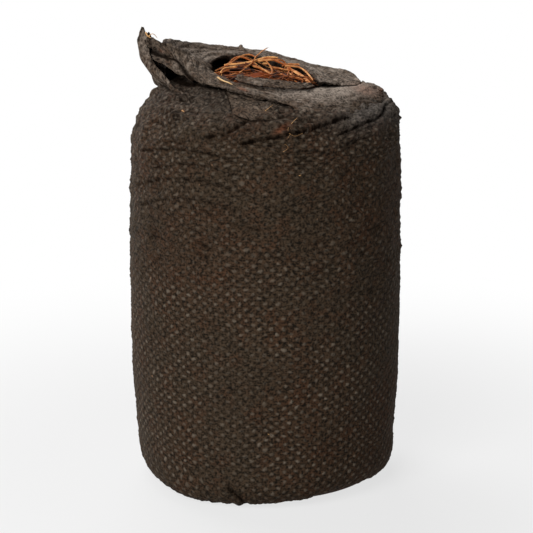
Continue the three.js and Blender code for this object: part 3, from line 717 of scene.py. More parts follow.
def dark_hollows(points):
    """How dark the unlit hollows between the folds are, where the camera sees them."""
    seen = pixels_of(points).reshape(-1, 2)
    total = np.zeros(len(seen))
    for route, strength in DARK_HOLLOWS:
        line = curve_through(route, np.linspace(0, 1, 60))
        near = np.flatnonzero(((seen > line[:, :2].min(0) - 12) & (seen < line[:, :2].max(0) + 12)).all(-1))
        reach = np.linalg.norm(seen[near, None] - line[None, :, :2], axis=-1) / line[:, 2]
        total[near] = np.maximum(total[near], strength * np.exp(-reach.min(1) ** 2))
    return np.clip(total.reshape(points.shape[:-1]), 0, 1) * (points[..., 1] < 6)


def crease(places, line, depth, width):
    """Relief and shade of one crease: cloth bulges above its line, turns in sharply at it and
    rises again a little below. The line runs from left to right in the places' own flat frame."""
    route = curve_through(line, np.linspace(0, 1, CREASE_STEPS))
    heading = unit(np.gradient(route, axis=0))
    flat = places.reshape(-1, 2)
    near = np.flatnonzero(((flat > route.min(0) - 3 * width) & (flat < route.max(0) + 3 * width)).all(-1))
    off = flat[near, None] - route[None]
    reach = np.linalg.norm(off, axis=-1)
    nearest = reach.argmin(1)
    rows = np.arange(len(near))
    off, away = off[rows, nearest], reach[rows, nearest]
    side = heading[nearest, 0] * off[:, 1] - heading[nearest, 1] * off[:, 0]
    share = nearest / (CREASE_STEPS - 1)
    fade = smooth(share, 0, 0.12) * (1 - smooth(share, 0.9, 1))
    above = 1.7 * np.exp(-away / width) * (1 - np.exp(-away / 0.45))
    below = 0.4 * np.exp(-away / 0.9) * (1 - np.exp(-away / 0.4))
    shape = np.where(side > 0, above, below) - 0.7 * np.exp(-(away / 0.35) ** 2)
    broken = np.clip(0.75 + 0.5 * waves(route[nearest], 1.6, 71), 0.2, 1.3)
    over = np.where(side > 0, np.maximum(away - 0.2, 0), away + 0.2)
    relief, shade = np.zeros(len(flat)), np.zeros(len(flat))
    relief[near] = depth * fade * shape
    shade[near] = min(depth / 0.45, 1.3) * fade * broken * (
        0.9 * np.exp(-(over / 0.34) ** 2) + 0.3 * np.exp(-away / (0.4 * width)) * (side > 0))
    return relief.reshape(places.shape[:-1]), shade.reshape(places.shape[:-1])


def small_folds():
    """Short slight folds strewn over the seen part of the shoulder, in the creases' own form."""
    rng = np.random.default_rng(77)
    folds = []
    for _ in range(SMALL_FOLDS):
        x, y = rng.uniform(*SMALL_FOLD_COLUMNS), rng.uniform(*SMALL_FOLD_ROWS)
        reach = rng.uniform(*SMALL_FOLD_REACH)
        drop = rng.normal(-0.3 * (x - 190) / 200, 0.14) * reach
        line = [(x, y), (x + reach / 2, y + drop / 2 + rng.normal(0, 0.8)), (x + reach, y + drop)]
        folds.append((line, rng.uniform(0.1, 0.26), rng.uniform(0.7, 1.5)))
    return folds


def crease_field(points, azimuth, height):
    """Relief and shade of all the creases. Those of the front lie in the photograph's frame, with
    its pixels made millimetres, and the hidden ones in the unrolled sleeve's own."""
    seen = pixels_of(points) * [1, -1] / PIXELS_PER_MM
    unrolled = np.stack(np.broadcast_arrays(np.radians(np.mod(azimuth, 360)) * NECK_RADIUS, height), -1)
    kinds = [(SEEN_CREASES + small_folds(), seen, [1, -1], 1 / PIXELS_PER_MM, points[..., 1] < 3),
             (HIDDEN_CREASES, unrolled, [math.radians(1), 1], [NECK_RADIUS, 1], True)]
    relief, shade = np.zeros(points.shape[:-1]), np.zeros(points.shape[:-1])
    for lines, places, units, size, shown in kinds:
        for line, depth, width in lines:
            one_relief, one_shade = crease(places, np.array(line) * units * size, depth, width)
            relief, shade = relief + shown * one_relief, np.maximum(shade, shown * one_shade)
    return relief, np.clip(shade, 0, 1)


def foot_pinch(azimuth, height):
    """The sleeve's foot is drawn in a little more at the left."""
    reach = swell(azimuth, FOOT_PINCH_AZIMUTH, FOOT_PINCH_WIDTH)
    return FOOT_PINCH * reach * smooth(height, 0, 3) * (1 - smooth(height, 7, 24))


def base_lift(azimuth, radius, height):
    """The base's edge is pressed up at the front right, and sags at the front left."""
    lift = BASE_LIFT * swell(azimuth, BASE_LIFT_AZIMUTH, BASE_LIFT_WIDTH) * (
        1 - np.clip(height / BASE_LIFT_HEIGHT, 0, 1)) * smooth(radius, 0, 11)
    sag = BASE_SAG * height * swell(azimuth, BASE_SAG_AZIMUTH, BASE_SAG_WIDTH) * (
        1 - smooth(height, 1, BASE_ROUND))
    return lift - sag


def sleeve_surface(stages, planar=False):
    """Points, normals, lattice places and shade of the sleeve's face at every stage and azimuth:
    the outline turned about the axis, then raised along its normals by dots, lumps and creases.
    A planar band is the base, whose dots lie in a flat lattice."""
    azimuth = LAP_AZIMUTH + 360 * np.arange(SLEEVE_COLUMNS)[:, None] / SLEEVE_COLUMNS
    step = stages[1] - stages[0]
    wider = np.concatenate([[max(stages[0] - step, 0.004)], stages, [min(stages[-1] + step, 4)]])
    inset = BASE_INSET * smooth(wider, 1.1, BASE_STAGE) if planar else 0 * wider
    radius, height = sleeve_outline(azimuth, wider[None, :], inset[None, :])
    height = height + base_lift(azimuth, radius, height)
    radius = radius - foot_pinch(azimuth, height)
    points = polar(azimuth, radius, height)
    normals = grid_normals(points, wrap=True)
    along = np.interp(wider, np.arange(5), STAGE_LENGTHS)[None, :]
    around, along = np.broadcast_arrays(azimuth / 360 * DOTS_AROUND * DOT_PITCH_AROUND, along)
    if planar:
        around, along = points[..., 0] + 3.1, points[..., 1] + 40
    creped, slack = smooth(height, *CREPED_HEIGHTS), smooth(height, *SLACK_HEIGHTS)
    wander = [0.2 * waves(points, 9.0, seed) + 0.22 * waves(points, 4.0, seed + 2) * creped
              for seed in (11, 12)]
    lattice = lattice_at(around + wander[0], along + wander[1])
    top_fade = 1 - 0.7 * smooth(height, *RIM_HEIGHTS)
    lumps = (0.12 * waves(points, 15.0, 21) + (0.05 + 0.1 * slack) * waves(points, 5.0, 22)
             + (0.05 + 0.05 * slack) * waves(points, 2.2, 23))
    dots = DOT_RELIEF * (dot_height(lattice) - 0.35) * (
        1 - 0.35 * smooth(height, *FLAT_DOT_HEIGHTS)) * (0.85 + 0.3 * waves(points, 3.1, 24))
    wrinkles = (0.13 * flat_waves(around / 13, along / 2.3, 26)
                + 0.11 * flat_waves(around / 7, along / 1.3 + around / 9, 27)) * creped
    pleats = 0.11 * flat_waves(around / 3.2, along / 14, 25) * (
        smooth(height, *PLEATED_HEIGHTS) + 0.8 * (1 - smooth(height, *FOOT_PLEAT_HEIGHTS)))
    folds, shade = crease_field(points, azimuth, height)
    shade = np.maximum(shade, 0.5 * smooth(-wrinkles, 0.1, 0.34))
    points = points + normals * ((lumps + dots + pleats + wrinkles) * top_fade + folds)[..., None]
    points[..., 2] = np.maximum(points[..., 2], 0)
    normals = grid_normals(points, wrap=True)
    return [values[:, 1:-1] for values in (points, normals, lattice, shade)]


def wrapped_lattice(mesh, lattice):
    """Gives the faces that close the turn the lattice place of a full turn, so that no dot smears."""
    corners = corner_points(mesh).reshape(-1, 4)
    places = lattice.reshape(-1, 2)[corners]
    columns = corners // lattice.shape[1]
    closing = columns.max(1) - columns.min(1) > 1
    places[closing] += np.where((columns[closing] == 0)[..., None], DOTS_AROUND, 0)
    mesh.uv_layers["lattice"].data.foreach_set("uv", places.ravel())


def fleece_values(points, lattice, shade, pale, bluish_dark=0.0):
    """What the fleece's material reads at each point: its marks, how pale, bluish dark and shaded
    it is, and the strength of the dot there."""
    return {"rust": marks(points, RUST_MARKS), "pink": marks(points, PINK_MARKS), "pale": pale,
            "bluish_dark": bluish_dark + 0 * shade, "shade": shade, "dot": dot_strength(lattice)}


def sleeve_part(name, material, stages, planar=False):
    """One band of the sleeve as a mesh, with normals that carry on over its edges."""
    points, normals, lattice, shade = sleeve_surface(stages, planar)
    pale = 0.12 * smooth(points[..., 2], 71, 78) + marks(points, PALE_MARKS)
    # Painted shade: the darkness of the creases, the hollow marks and the unlit hollows goes into the colour
    shade = np.max([shade, marks(points, HOLLOW_SHADE_MARKS), dark_hollows(points)], 0)
    piece = make_piece(name, points, grid_faces(*shade.shape, wrap=True), material,
                       ["fleece_sleeve"], normals, lattice, fleece_values(points, lattice, shade, pale))
    if not planar:
        wrapped_lattice(piece.data, lattice)
    return piece


def way_along(points, axis):
    """The way gone along an axis of a grid of points up to each."""
    start = np.take(points, [0], axis)
    return np.cumsum(np.linalg.norm(np.diff(points, axis=axis, prepend=start), axis=-1), axis=axis)


def cloth(name, surface, columns, rows, material, nodes, slot="fleece_fold", thickness=FLEECE_THICKNESS,
          crumple=0.2, crumple_size=4.0, seed=1, ragged=0.0, relief=0.09, streak=0.05,
          upright=False, pale=0.4, bluish_dark=0.0, shaded=0.0, in_mouth=0.0):
    """A sheet of fleece with two faces and a closed border. surface gives its middle at a row of
    shares along it and a grid of shares across it, cut back to a ragged edge; the faces stand half
    the thickness off it along the normals, with dots and crumples. Its streaks run along it, or
    upright. shaded is how much of the hollows' darkness falls on it, and in_mouth how far from its
    first edge it hangs in the dark mouth. pale and the bluish darkening are numbers, or formulas of
    both shares."""
    u, v = np.linspace(0, 1, columns), np.linspace(0, 1, rows)
    edge = 1 - ragged * (0.5 + 0.5 * waves(u[:, None] * columns / 14, 1.0, seed + 3))
    middle = surface(u, v[None, :] * edge[:, None])
    normals = grid_normals(middle)
    wander = 0.25 * waves(middle, 6.0, seed + 4)
    run, cross = way_along(middle[:, rows // 2], 0)[:, None] + wander, way_along(middle, 1) + wander
    if upright:
        run, cross = cross, run
    lattice = lattice_at(run, cross)
    creped = (crumple * waves(middle, crumple_size, seed)
              + streak * flat_waves(run / 8.0, cross / 0.9, seed + 7))
    middle = middle + normals * (creped * smooth(v, 0, 0.12))[..., None]
    normals = grid_normals(middle)
    dots = relief * (dot_height(lattice) - 0.4) + 0.04 * waves(middle, 1.2, seed + 5)
    both = np.stack([middle + normals * (thickness / 2 + dots)[..., None],
                     middle - normals * (thickness / 2 - dots)[..., None]])
    count = columns * rows
    ring = np.concatenate([np.arange(columns - 1) * rows, (columns - 1) * rows + np.arange(rows - 1),
                           np.arange(columns - 1, 0, -1) * rows + rows - 1, np.arange(rows - 1, 0, -1)])
    following = np.roll(ring, -1)
    faces = np.concatenate([grid_faces(columns, rows), grid_faces(columns, rows, start=count, flip=True),
                            np.stack([ring, ring + count, following + count, following], -1)])
    pale, bluish_dark = (field(u, v) if callable(field) else field for field in (pale, bluish_dark))
    pale = pale + (slot == "fleece_fold") * (
        0.15 * waves(both, 5.0, seed + 6) + 0.14 * waves(both, 1.3, seed + 8))
    unlit = 0.95 * (1 - smooth(v, in_mouth - 0.04, in_mouth + 0.01)) * (in_mouth > 0)
    shade = np.maximum(shaded * dark_hollows(both), unlit)
    lattice = np.stack([lattice, lattice + 0.37])
    return make_piece(name, both, faces.tolist(), material, nodes, None, lattice,
                      fleece_values(both, lattice, shade, pale, bluish_dark))


def cuff_surface(table, free_edge, runs_out, dips_from):
    """The surface of a cuff, whose mouth edge, rim, middle, crest and free edge follow a table of
    azimuths. From the two azimuths of runs_out on, the part from dips_from to the free edge dips
    into the shoulder."""
    def surface(u, share):
        """The cuff at shares along it and across it."""
        azimuth, rim, rim_rise, middle, middle_rise, crest, crest_rise, last = curve_through(table, u).T
        steps = [(rim, CROWN_HEIGHT + rim_rise), (middle, CROWN_HEIGHT + middle_rise),
                 (crest, CROWN_HEIGHT + crest_rise), free_edge(azimuth, crest, crest_rise, last)]
        places = np.stack([turned_in(*steps[0])] + [np.stack(step, -1) for step in steps])
        column, row = np.ogrid[:share.shape[0], :share.shape[1]]
        radius, height = np.moveaxis(curve_through(places, share)[column, row, column], -1, 0)
        azimuth = azimuth[:, None]
        resting = resting_height(azimuth, radius, height - CROWN_HEIGHT)
        height = np.where(radius > MOUTH_RADIUS - FOLD_SPACE, resting, height)
        across = np.linspace(0, 1, share.shape[1])
        dip = CUFF_SINKS * smooth(azimuth, *runs_out) * smooth(across, dips_from, 1)
        return polar(azimuth, radius, height - dip)
    return surface


def turned_in(radius, height):
    """A cuff's mouth edge, which hangs into the mouth where it passes inside the sleeve's edge."""
    hang = np.clip((MOUTH_RADIUS + 0.4 - radius) / 0.8, 0, 1)
    return np.stack([radius - 0.4 - 0.5 * hang, height - 0.1 - 2.2 * hang], -1)


def hanging_edge(azimuth, crest, crest_rise, hang):
    """The front cuff's free edge as radius and height: it hangs down outside the crest."""
    return crest + 0.1 + 0.2 * hang, CROWN_HEIGHT + (crest_rise - hang)


def resting_foot(azimuth, crest, crest_rise, foot):
    """The back cuff's free edge as radius and height: it rests on the shoulder."""
    return foot, resting_height(azimuth, foot, -CROWN_HEIGHT)


def ear_surface(u, share):
    """The standing corner: a wall from its foot on the shoulder to its top edge, bellied between."""
    azimuth, foot, top, top_rise, belly = curve_through(EAR, u).T[..., None]
    foot_height = shoulder_height(azimuth, foot) - EAR_FOOT_SINKS
    radius = foot + (top - foot) * share + 4 * share * (1 - share) * belly
    height = foot_height + (CROWN_HEIGHT + top_rise - foot_height) * share
    return polar(azimuth, radius, height - EAR_SINKS * smooth(azimuth, *EAR_SINKS_BETWEEN))


def tongue_surface(u, share):
    """The tongue between its root under the front cuff and its edge in the ear."""
    azimuth, root, root_rise, rim, rim_rise = curve_through(TONGUE, u).T[..., None]
    share = (1 + TONGUE_ROOT) * share - TONGUE_ROOT
    radius = root + (rim - root) * share
    rise = root_rise + (rim_rise - root_rise) * share
    return polar(azimuth, radius, resting_height(azimuth, radius, rise))


def lip_surface(u, share):
    """The lip in front of the mouth, from its low edge to its high one."""
    azimuth, low, low_rise, high, high_rise = curve_through(FRONT_LIP, u).T[..., None]
    share = (1 + LIP_ROOT) * share - LIP_ROOT
    roll = 0.25 * np.sin(np.pi * np.clip(share, 0, 1))
    return polar(azimuth, low + (high - low) * share,
                 CROWN_HEIGHT + low_rise + (high_rise - low_rise) * share + roll)


def corner_surface(u, share):
    """The corner fold, which lies flat on the shoulder between two radii."""
    azimuth, inner, outer = curve_through(CORNER_FOLD, u).T[..., None]
    radius = inner - CORNER_RUNS_IN + (outer - inner + CORNER_RUNS_IN) * share
    return polar(azimuth, radius, resting_height(azimuth, radius, -CROWN_HEIGHT, CORNER_SPACE))


def tuck_surface(u, share):
    """The tuck: a grid of pixels between its two seen sides, laid on the shoulder. Its right end
    sinks into the sleeve."""
    top, foot = curve_through(TUCK_TOP, u)[:, None], curve_through(TUCK_FOOT, u)[:, None]
    pixels = top + (foot - top) * share[..., None]
    points = seen_on_sleeve(pixels.reshape(-1, 2), TUCK_LIFT).reshape(*share.shape, 3)
    points[..., 2] -= TUCK_SINKS * smooth(u, *TUCK_SINKS_BETWEEN)[:, None]
    return points


def lap_surface(u, share):
    """The strip that laps the join, between two heights of the barrel."""
    height = LAP_FOOT + (LAP_TOP - LAP_FOOT) * share
    radius = wall_radius(LAP_AZIMUTH, height) + CLEARANCE + 0.1
    half_turn = np.degrees(LAP_WIDTH / 2 / radius)
    return polar(LAP_AZIMUTH + half_turn * (2 * u[:, None] - 1), radius, height)


def strand_mesh(paths, radii, sides):
    """Round strands along many paths at once: a ring of points about each step of each path,
    square to it, with flat ends. Gives the points and the faces."""
    heading = unit(np.gradient(paths, axis=1))
    across = unit(np.cross(heading, np.array([0.31, 0.22, 0.93])))
    over = np.cross(across, heading)
    turn = 2 * np.pi * np.arange(sides) / sides
    ring = across[:, :, None] * np.cos(turn)[:, None] + over[:, :, None] * np.sin(turn)[:, None]
    points = paths[:, :, None] + ring * radii[:, :, None, None]
    count, steps = paths.shape[:2]
    strand = np.arange(count)[:, None, None] * steps * sides
    step = np.arange(steps - 1)[None, :, None] * sides
    side = np.arange(sides)[None, None, :]
    here, beside = strand + step + side, strand + step + (side + 1) % sides
    walls = np.stack([here, here + sides, beside + sides, beside], -1).reshape(-1, 4)
    first = strand[:, 0] + np.arange(sides)[None, :]
    last = first[:, ::-1] + (steps - 1) * sides
    return points.reshape(-1, 3), walls.tolist() + first.tolist() + last.tolist()


def strands(name, paths, radii, material, tone, spread, sides, seed, nodes=(), slot="coir_fibre"):
    """Strands of coir as one piece, each with its own tone from dark to pale."""
    rng = np.random.default_rng(seed)
    points, faces = strand_mesh(paths, radii, sides)
    tones = np.clip(tone + spread * rng.normal(size=len(paths)), 0, 1)
    values = np.repeat(tones, paths.shape[1] * sides)
    return make_piece(name, points, faces, material, nodes, values={"tone": values})


def thinned(share, tip, tip_share, root, root_share):
    """How thick a strand is at shares of its way: it loses tip of its width over the last
    tip_share of it, and root over the first root_share."""
    return (1 - tip * smooth(share, 1 - tip_share, 1)) * (1 - root * (1 - smooth(share, 0, root_share)))


def fibre_bundle(name, start_radius, end_radius, route, material, tone, seed, beside, **place):
    """One coarse fibre, with finer ones beside it that leave it towards its end."""
    rng = np.random.default_rng(seed)
    share = np.linspace(0, 1, 40)
    path = curve_through(np.array(route, float) + [0, 0, CROWN_HEIGHT], share)
    path = path + 0.05 * np.stack([waves(path, 1.6, seed + k) for k in range(3)], -1)
    leave = share[:, None] ** 2 * rng.normal(size=(beside, 1, 3)) * [0.7, 0.5, 0.35]
    finer = path + leave + 0.12 * rng.normal(size=(beside, 1, 3))
    taper = (start_radius + (end_radius - start_radius) * share) * thinned(share, 0.65, 0.1, 0.4, 0.08)
    radii = np.stack([0.72 * taper] + beside * [0.26 * taper])
    return strands(name, np.concatenate([path[None], finer]), radii, material, tone, 0.08, 8, seed, **place)


def on_mound(pixels):
    """Points of the mouth that the camera sees at pixels, on the coir at the depth of their rows."""
    rows, depths = np.array(MOUND_SIGHT, float).T
    return seen_at_depth(pixels, np.interp(pixels[:, 1], rows, depths))


def seen_fibres(name, table, place, steps, thickness, material, spread, sides, seed):
    """The fibres of a table of routes in pixels: place puts a route in space, and thickness gives
    the share of the radius that each has at shares of its way."""
    share = np.linspace(0, 1, steps)
    for number, (route, radius, tone) in enumerate(table):
        path = place(curve_through(route, share))
        strands(f"{name}_{number + 1:02d}", path[None], (radius * thickness(share))[None], material,
                tone, spread, sides, seed + number)


def mound_height(azimuth):
    """Height of the core's mound in the mouth at azimuths."""
    return CROWN_HEIGHT + curve_through(MOUND, np.mod(azimuth, 360) / 360)[..., 1]


def core_heights(azimuth):
    """The core's mound, groove and hole as radius and height at azimuths, from the mouth inwards."""
    mound = mound_height(azimuth)
    top = shoulder_numbers(azimuth)[1]
    floor = CROWN_HEIGHT - HOLE_DEPTH + 0 * mound
    middle = (MOUTH_RADIUS + HOLE_RADIUS) / 2 - 0.8
    places = [
        (MOUTH_RADIUS, top - SLEEVE_THICKNESS - CLEARANCE),
        (MOUTH_RADIUS - GROOVE_WIDTH, top - GROOVE_DEPTH),
        (MOUTH_RADIUS - 2.4 * GROOVE_WIDTH, mound - 0.4),
        (middle, mound),
        (HOLE_RADIUS, mound - 0.4),
        (HOLE_TIP_RADIUS, (mound + floor) / 2),
        (HOLE_TIP_RADIUS, floor + 0.6),
        (0.02, floor),
    ]
    return [np.stack([radius + 0 * mound, height], -1) for radius, height in places]


def coir_bed(material):
    """The pressed core: the sleeve's outline set in, closed on top by the mound and the hole,
    whose face is roughened by noise of three sizes."""
    columns = 300
    azimuth = 360 * np.arange(columns)[:, None] / columns
    stages = np.array([0.002, 0.5, 1, 1.2, 1.4, 1.6, 1.8, 2, 2.3, 2.6, 3, 3.2, 3.4, 3.6, 3.8, 3.95])
    side = polar(azimuth, *sleeve_outline(azimuth, stages[None, :], SLEEVE_THICKNESS + CLEARANCE))
    share = np.linspace(0, 1, 120)
    top = np.moveaxis(curve_through(np.stack(core_heights(azimuth[:, 0])), share), 0, 1)
    top = polar(azimuth, top[..., 0], top[..., 1])
    rough = 0.4 * waves(top, 2.6, 41) + 0.25 * waves(top, 1.1, 42, 24) + 0.15 * waves(top, 0.6, 43, 30)
    fade = smooth(share, 0.02, 0.14) * (1 - smooth(share, 0.9, 0.99))
    top = top + grid_normals(top, wrap=True) * (rough * fade)[..., None]
    points = np.concatenate([side, top], 1)
    rows = points.shape[1]
    faces = grid_faces(columns, rows, wrap=True).tolist()
    faces.append((np.arange(columns)[::-1] * rows).tolist())
    faces.append((np.arange(columns) * rows + rows - 1).tolist())
    return make_piece("coir_bed", points, faces, material, ["coir_core"],
                      values={"tone": 0.34 + 0.16 * waves(points, 1.8, 44)})


def bed_height(x, y):
    """Height of the mound's face at points of the mouth."""
    radius = np.hypot(x, y)
    mound = mound_height(np.degrees(np.arctan2(y, x)))
    edge = smooth(radius, MOUTH_RADIUS - 2.6 * GROOVE_WIDTH, MOUTH_RADIUS)
    return mound - 2.0 * edge - 2.5 * (1 - smooth(radius, HOLE_TIP_RADIUS, HOLE_RADIUS + 0.6))


def grain_mesh(centres, sizes, seed):
    """Crumbs of pith: an icosahedron at each centre, its corners pushed in and out at random."""
    golden = (1 + math.sqrt(5)) / 2
    signs = np.array([(a, b) for a in (-1, 1) for b in (-1, 1)], float)
    zero = np.zeros(4)
    corners = np.concatenate([
        np.stack([zero, signs[:, 0], signs[:, 1] * golden], -1),
        np.stack([signs[:, 0], signs[:, 1] * golden, zero], -1),
        np.stack([signs[:, 1] * golden, zero, signs[:, 0]], -1)])
    near = np.linalg.norm(corners[:, None] - corners[None], axis=-1) < 2.01
    faces = []
    for a in range(12):
        for b in range(a + 1, 12):
            for c in range(b + 1, 12):
                if near[a, b] and near[b, c] and near[a, c]:
                    out = np.cross(corners[b] - corners[a], corners[c] - corners[a]) @ corners[a]
                    faces.append((a, b, c) if out > 0 else (a, c, b))
    rng = np.random.default_rng(seed)
    shape = corners / golden * rng.uniform(0.6, 1.25, (len(centres), 12, 1))
    stretch = rng.uniform(0.6, 1.4, (len(centres), 1, 3)) * sizes[:, None, None]
    points = centres[:, None] + shape * stretch
    index = np.array(faces)[None] + 12 * np.arange(len(centres))[:, None, None]
    return points.reshape(-1, 3), index.reshape(-1, 3).tolist()


def pith_crumbs(material, count):
    """Crumbs of pith strewn over the mound and down into its groove."""
    rng = np.random.default_rng(51)
    radius = np.sqrt(rng.uniform(HOLE_RADIUS**2, (MOUTH_RADIUS - 0.4) ** 2, count))
    turn = rng.uniform(0, 2 * np.pi, count)
    x, y = radius * np.cos(turn), radius * np.sin(turn)
    centres = np.stack([x, y, bed_height(x, y) + rng.uniform(-0.1, 0.35, count)], -1)
    points, faces = grain_mesh(centres, rng.uniform(0.1, 0.34, count), 52)
    tones = np.repeat(np.clip(rng.normal(0.3, 0.16, count), 0, 1), 12)
    return make_piece("pith_crumbs", points, faces, material, values={"tone": tones})


def loose_fibres(name, material, count, lengths, radii, tone, seed):
    """Fine fibres that lie across the mouth at random, each an arc with a slight lift."""
    rng = np.random.default_rng(seed)
    radius = (MOUTH_RADIUS - 2.2) * np.sqrt(rng.uniform(0.03, 1, count))
    turn = rng.uniform(0, 2 * np.pi, count)
    centre = np.stack([radius * np.cos(turn), radius * np.sin(turn)], -1)
    heading = rng.uniform(0, np.pi, count)
    long = rng.uniform(*lengths, count)
    share = np.linspace(-0.5, 0.5, 14)
    bow = rng.normal(0, 0.16, count)[:, None] * long[:, None] * (4 * share**2)
    ahead = share * long[:, None]
    x = centre[:, :1] + ahead * np.cos(heading)[:, None] - bow * np.sin(heading)[:, None]
    y = centre[:, 1:] + ahead * np.sin(heading)[:, None] + bow * np.cos(heading)[:, None]
    pull = np.minimum(1, (MOUTH_RADIUS - 1.0) / np.maximum(np.hypot(x, y), 1e-6))
    x, y = x * pull, y * pull
    bed = bed_height(x, y)
    lift = rng.uniform(0.1, 1.0, (count, 1)) + rng.normal(0, 0.5, (count, 1)) * share
    height = np.maximum(bed.max(1, keepdims=True) * 0.6 + bed * 0.4, bed) + lift
    taper = rng.uniform(*radii, (count, 1)) * (1 - 0.5 * np.abs(2 * share) ** 3)
    return strands(name, np.stack([x, y, height], -1), taper, material, tone, 0.22, 5, seed)


def chip_surface(u, share):
    """A bowed flake of husk, narrower at its ends, that leans back."""
    lean = math.radians(CHIP_LEAN)
    end = (2 * u[:, None] - 1) ** 2
    up = (share - 0.5) * CHIP_HEIGHT * (1 - 0.5 * end)
    bow = CHIP_BOW * (1 - end) + 0 * up
    return np.stack(np.broadcast_arrays(
        CHIP_CENTRE[0] + (u[:, None] - 0.5) * CHIP_WIDTH,
        CHIP_CENTRE[1] + up * math.sin(lean) - bow * math.cos(lean),
        CROWN_HEIGHT + CHIP_CENTRE[2] + up * math.cos(lean) + bow * math.sin(lean)), -1)


# Materials

def linear(red, green, blue):
    """A colour written in the photograph's 0 to 255 steps as the linear colour of a shader."""
    share = np.array([red, green, blue]) / 255
    low, high = share / 12.92, ((share + 0.055) / 1.055) ** 2.4
    return (*np.where(share <= 0.04045, low, high).tolist(), 1.0)


def new_material(name, roughness, specular):
    """An empty material and its shader."""
    material = bpy.data.materials.new(name)
    material.use_nodes = True
    shader = material.node_tree.nodes["Principled BSDF"]
    shader.inputs["Roughness"].default_value = roughness
    shader.inputs["Specular IOR Level"].default_value = specular
    return material, material.node_tree, shader


def add_node(tree, kind, **settings):
    """A node with its settings made."""
    made = tree.nodes.new(kind)
    for key, value in settings.items():
        setattr(made, key, value)
    return made


def feed(tree, value, socket):
    """Links a socket into another, or sets the other's own value."""
    if isinstance(value, bpy.types.NodeSocket):
        tree.links.new(value, socket)
    else:
        socket.default_value = value


def calculate(tree, operation, first, second=0.0, clamp=False):
    """A number worked out from two."""
    made = add_node(tree, "ShaderNodeMath", operation=operation, use_clamp=clamp)
    feed(tree, first, made.inputs[0])
    feed(tree, second, made.inputs[1])
    return made.outputs[0]


def times(tree, first, second):
    """Two numbers multiplied."""
    return calculate(tree, "MULTIPLY", first, second)


def plus(tree, first, second):
    """Two numbers added."""
    return calculate(tree, "ADD", first, second)


def attribute(tree, key):
    """The number that a piece's points hold under a name."""
    return add_node(tree, "ShaderNodeAttribute", attribute_name=key).outputs["Fac"]


def vector(tree, operation, first, second=None, scale=None):
    """A vector worked out from two, or from one and a scale."""
    made = add_node(tree, "ShaderNodeVectorMath", operation=operation)
    feed(tree, first, made.inputs[0])
    if second is not None:
        feed(tree, second, made.inputs[1])
    if scale is not None:
        feed(tree, scale, made.inputs["Scale"])
    return made.outputs["Value" if operation in ("LENGTH", "DOT_PRODUCT") else "Vector"]


def between(tree, value, low, high, start=0.0, end=1.0):
    """A number carried smoothly from one range to another."""
    made = add_node(tree, "ShaderNodeMapRange", interpolation_type="SMOOTHSTEP")
    for place, number in enumerate((value, low, high, start, end)):
        feed(tree, number, made.inputs[place])
    return made.outputs[0]


def blend_colours(tree, share, first, second):
    """Two colours mixed by a share."""
    made = add_node(tree, "ShaderNodeMix", data_type="RGBA", clamp_factor=True)
    feed(tree, share, made.inputs[0])
    feed(tree, first, made.inputs[6])
    feed(tree, second, made.inputs[7])
    return made.outputs[2]


def noise(tree, place, scale, detail=2.0, output="Fac"):
    """Noise at a place, with so many features to a metre."""
    made = add_node(tree, "ShaderNodeTexNoise")
    feed(tree, place, made.inputs["Vector"])
    made.inputs["Scale"].default_value = scale
    made.inputs["Detail"].default_value = detail
    return made.outputs[output]


def bump(tree, shader, height, distance, strength):
    """Gives a shader fine relief of so many metres."""
    made = add_node(tree, "ShaderNodeBump")
    made.inputs["Distance"].default_value = distance
    made.inputs["Strength"].default_value = strength
    feed(tree, height, made.inputs["Height"])
    feed(tree, made.outputs[0], shader.inputs["Normal"])


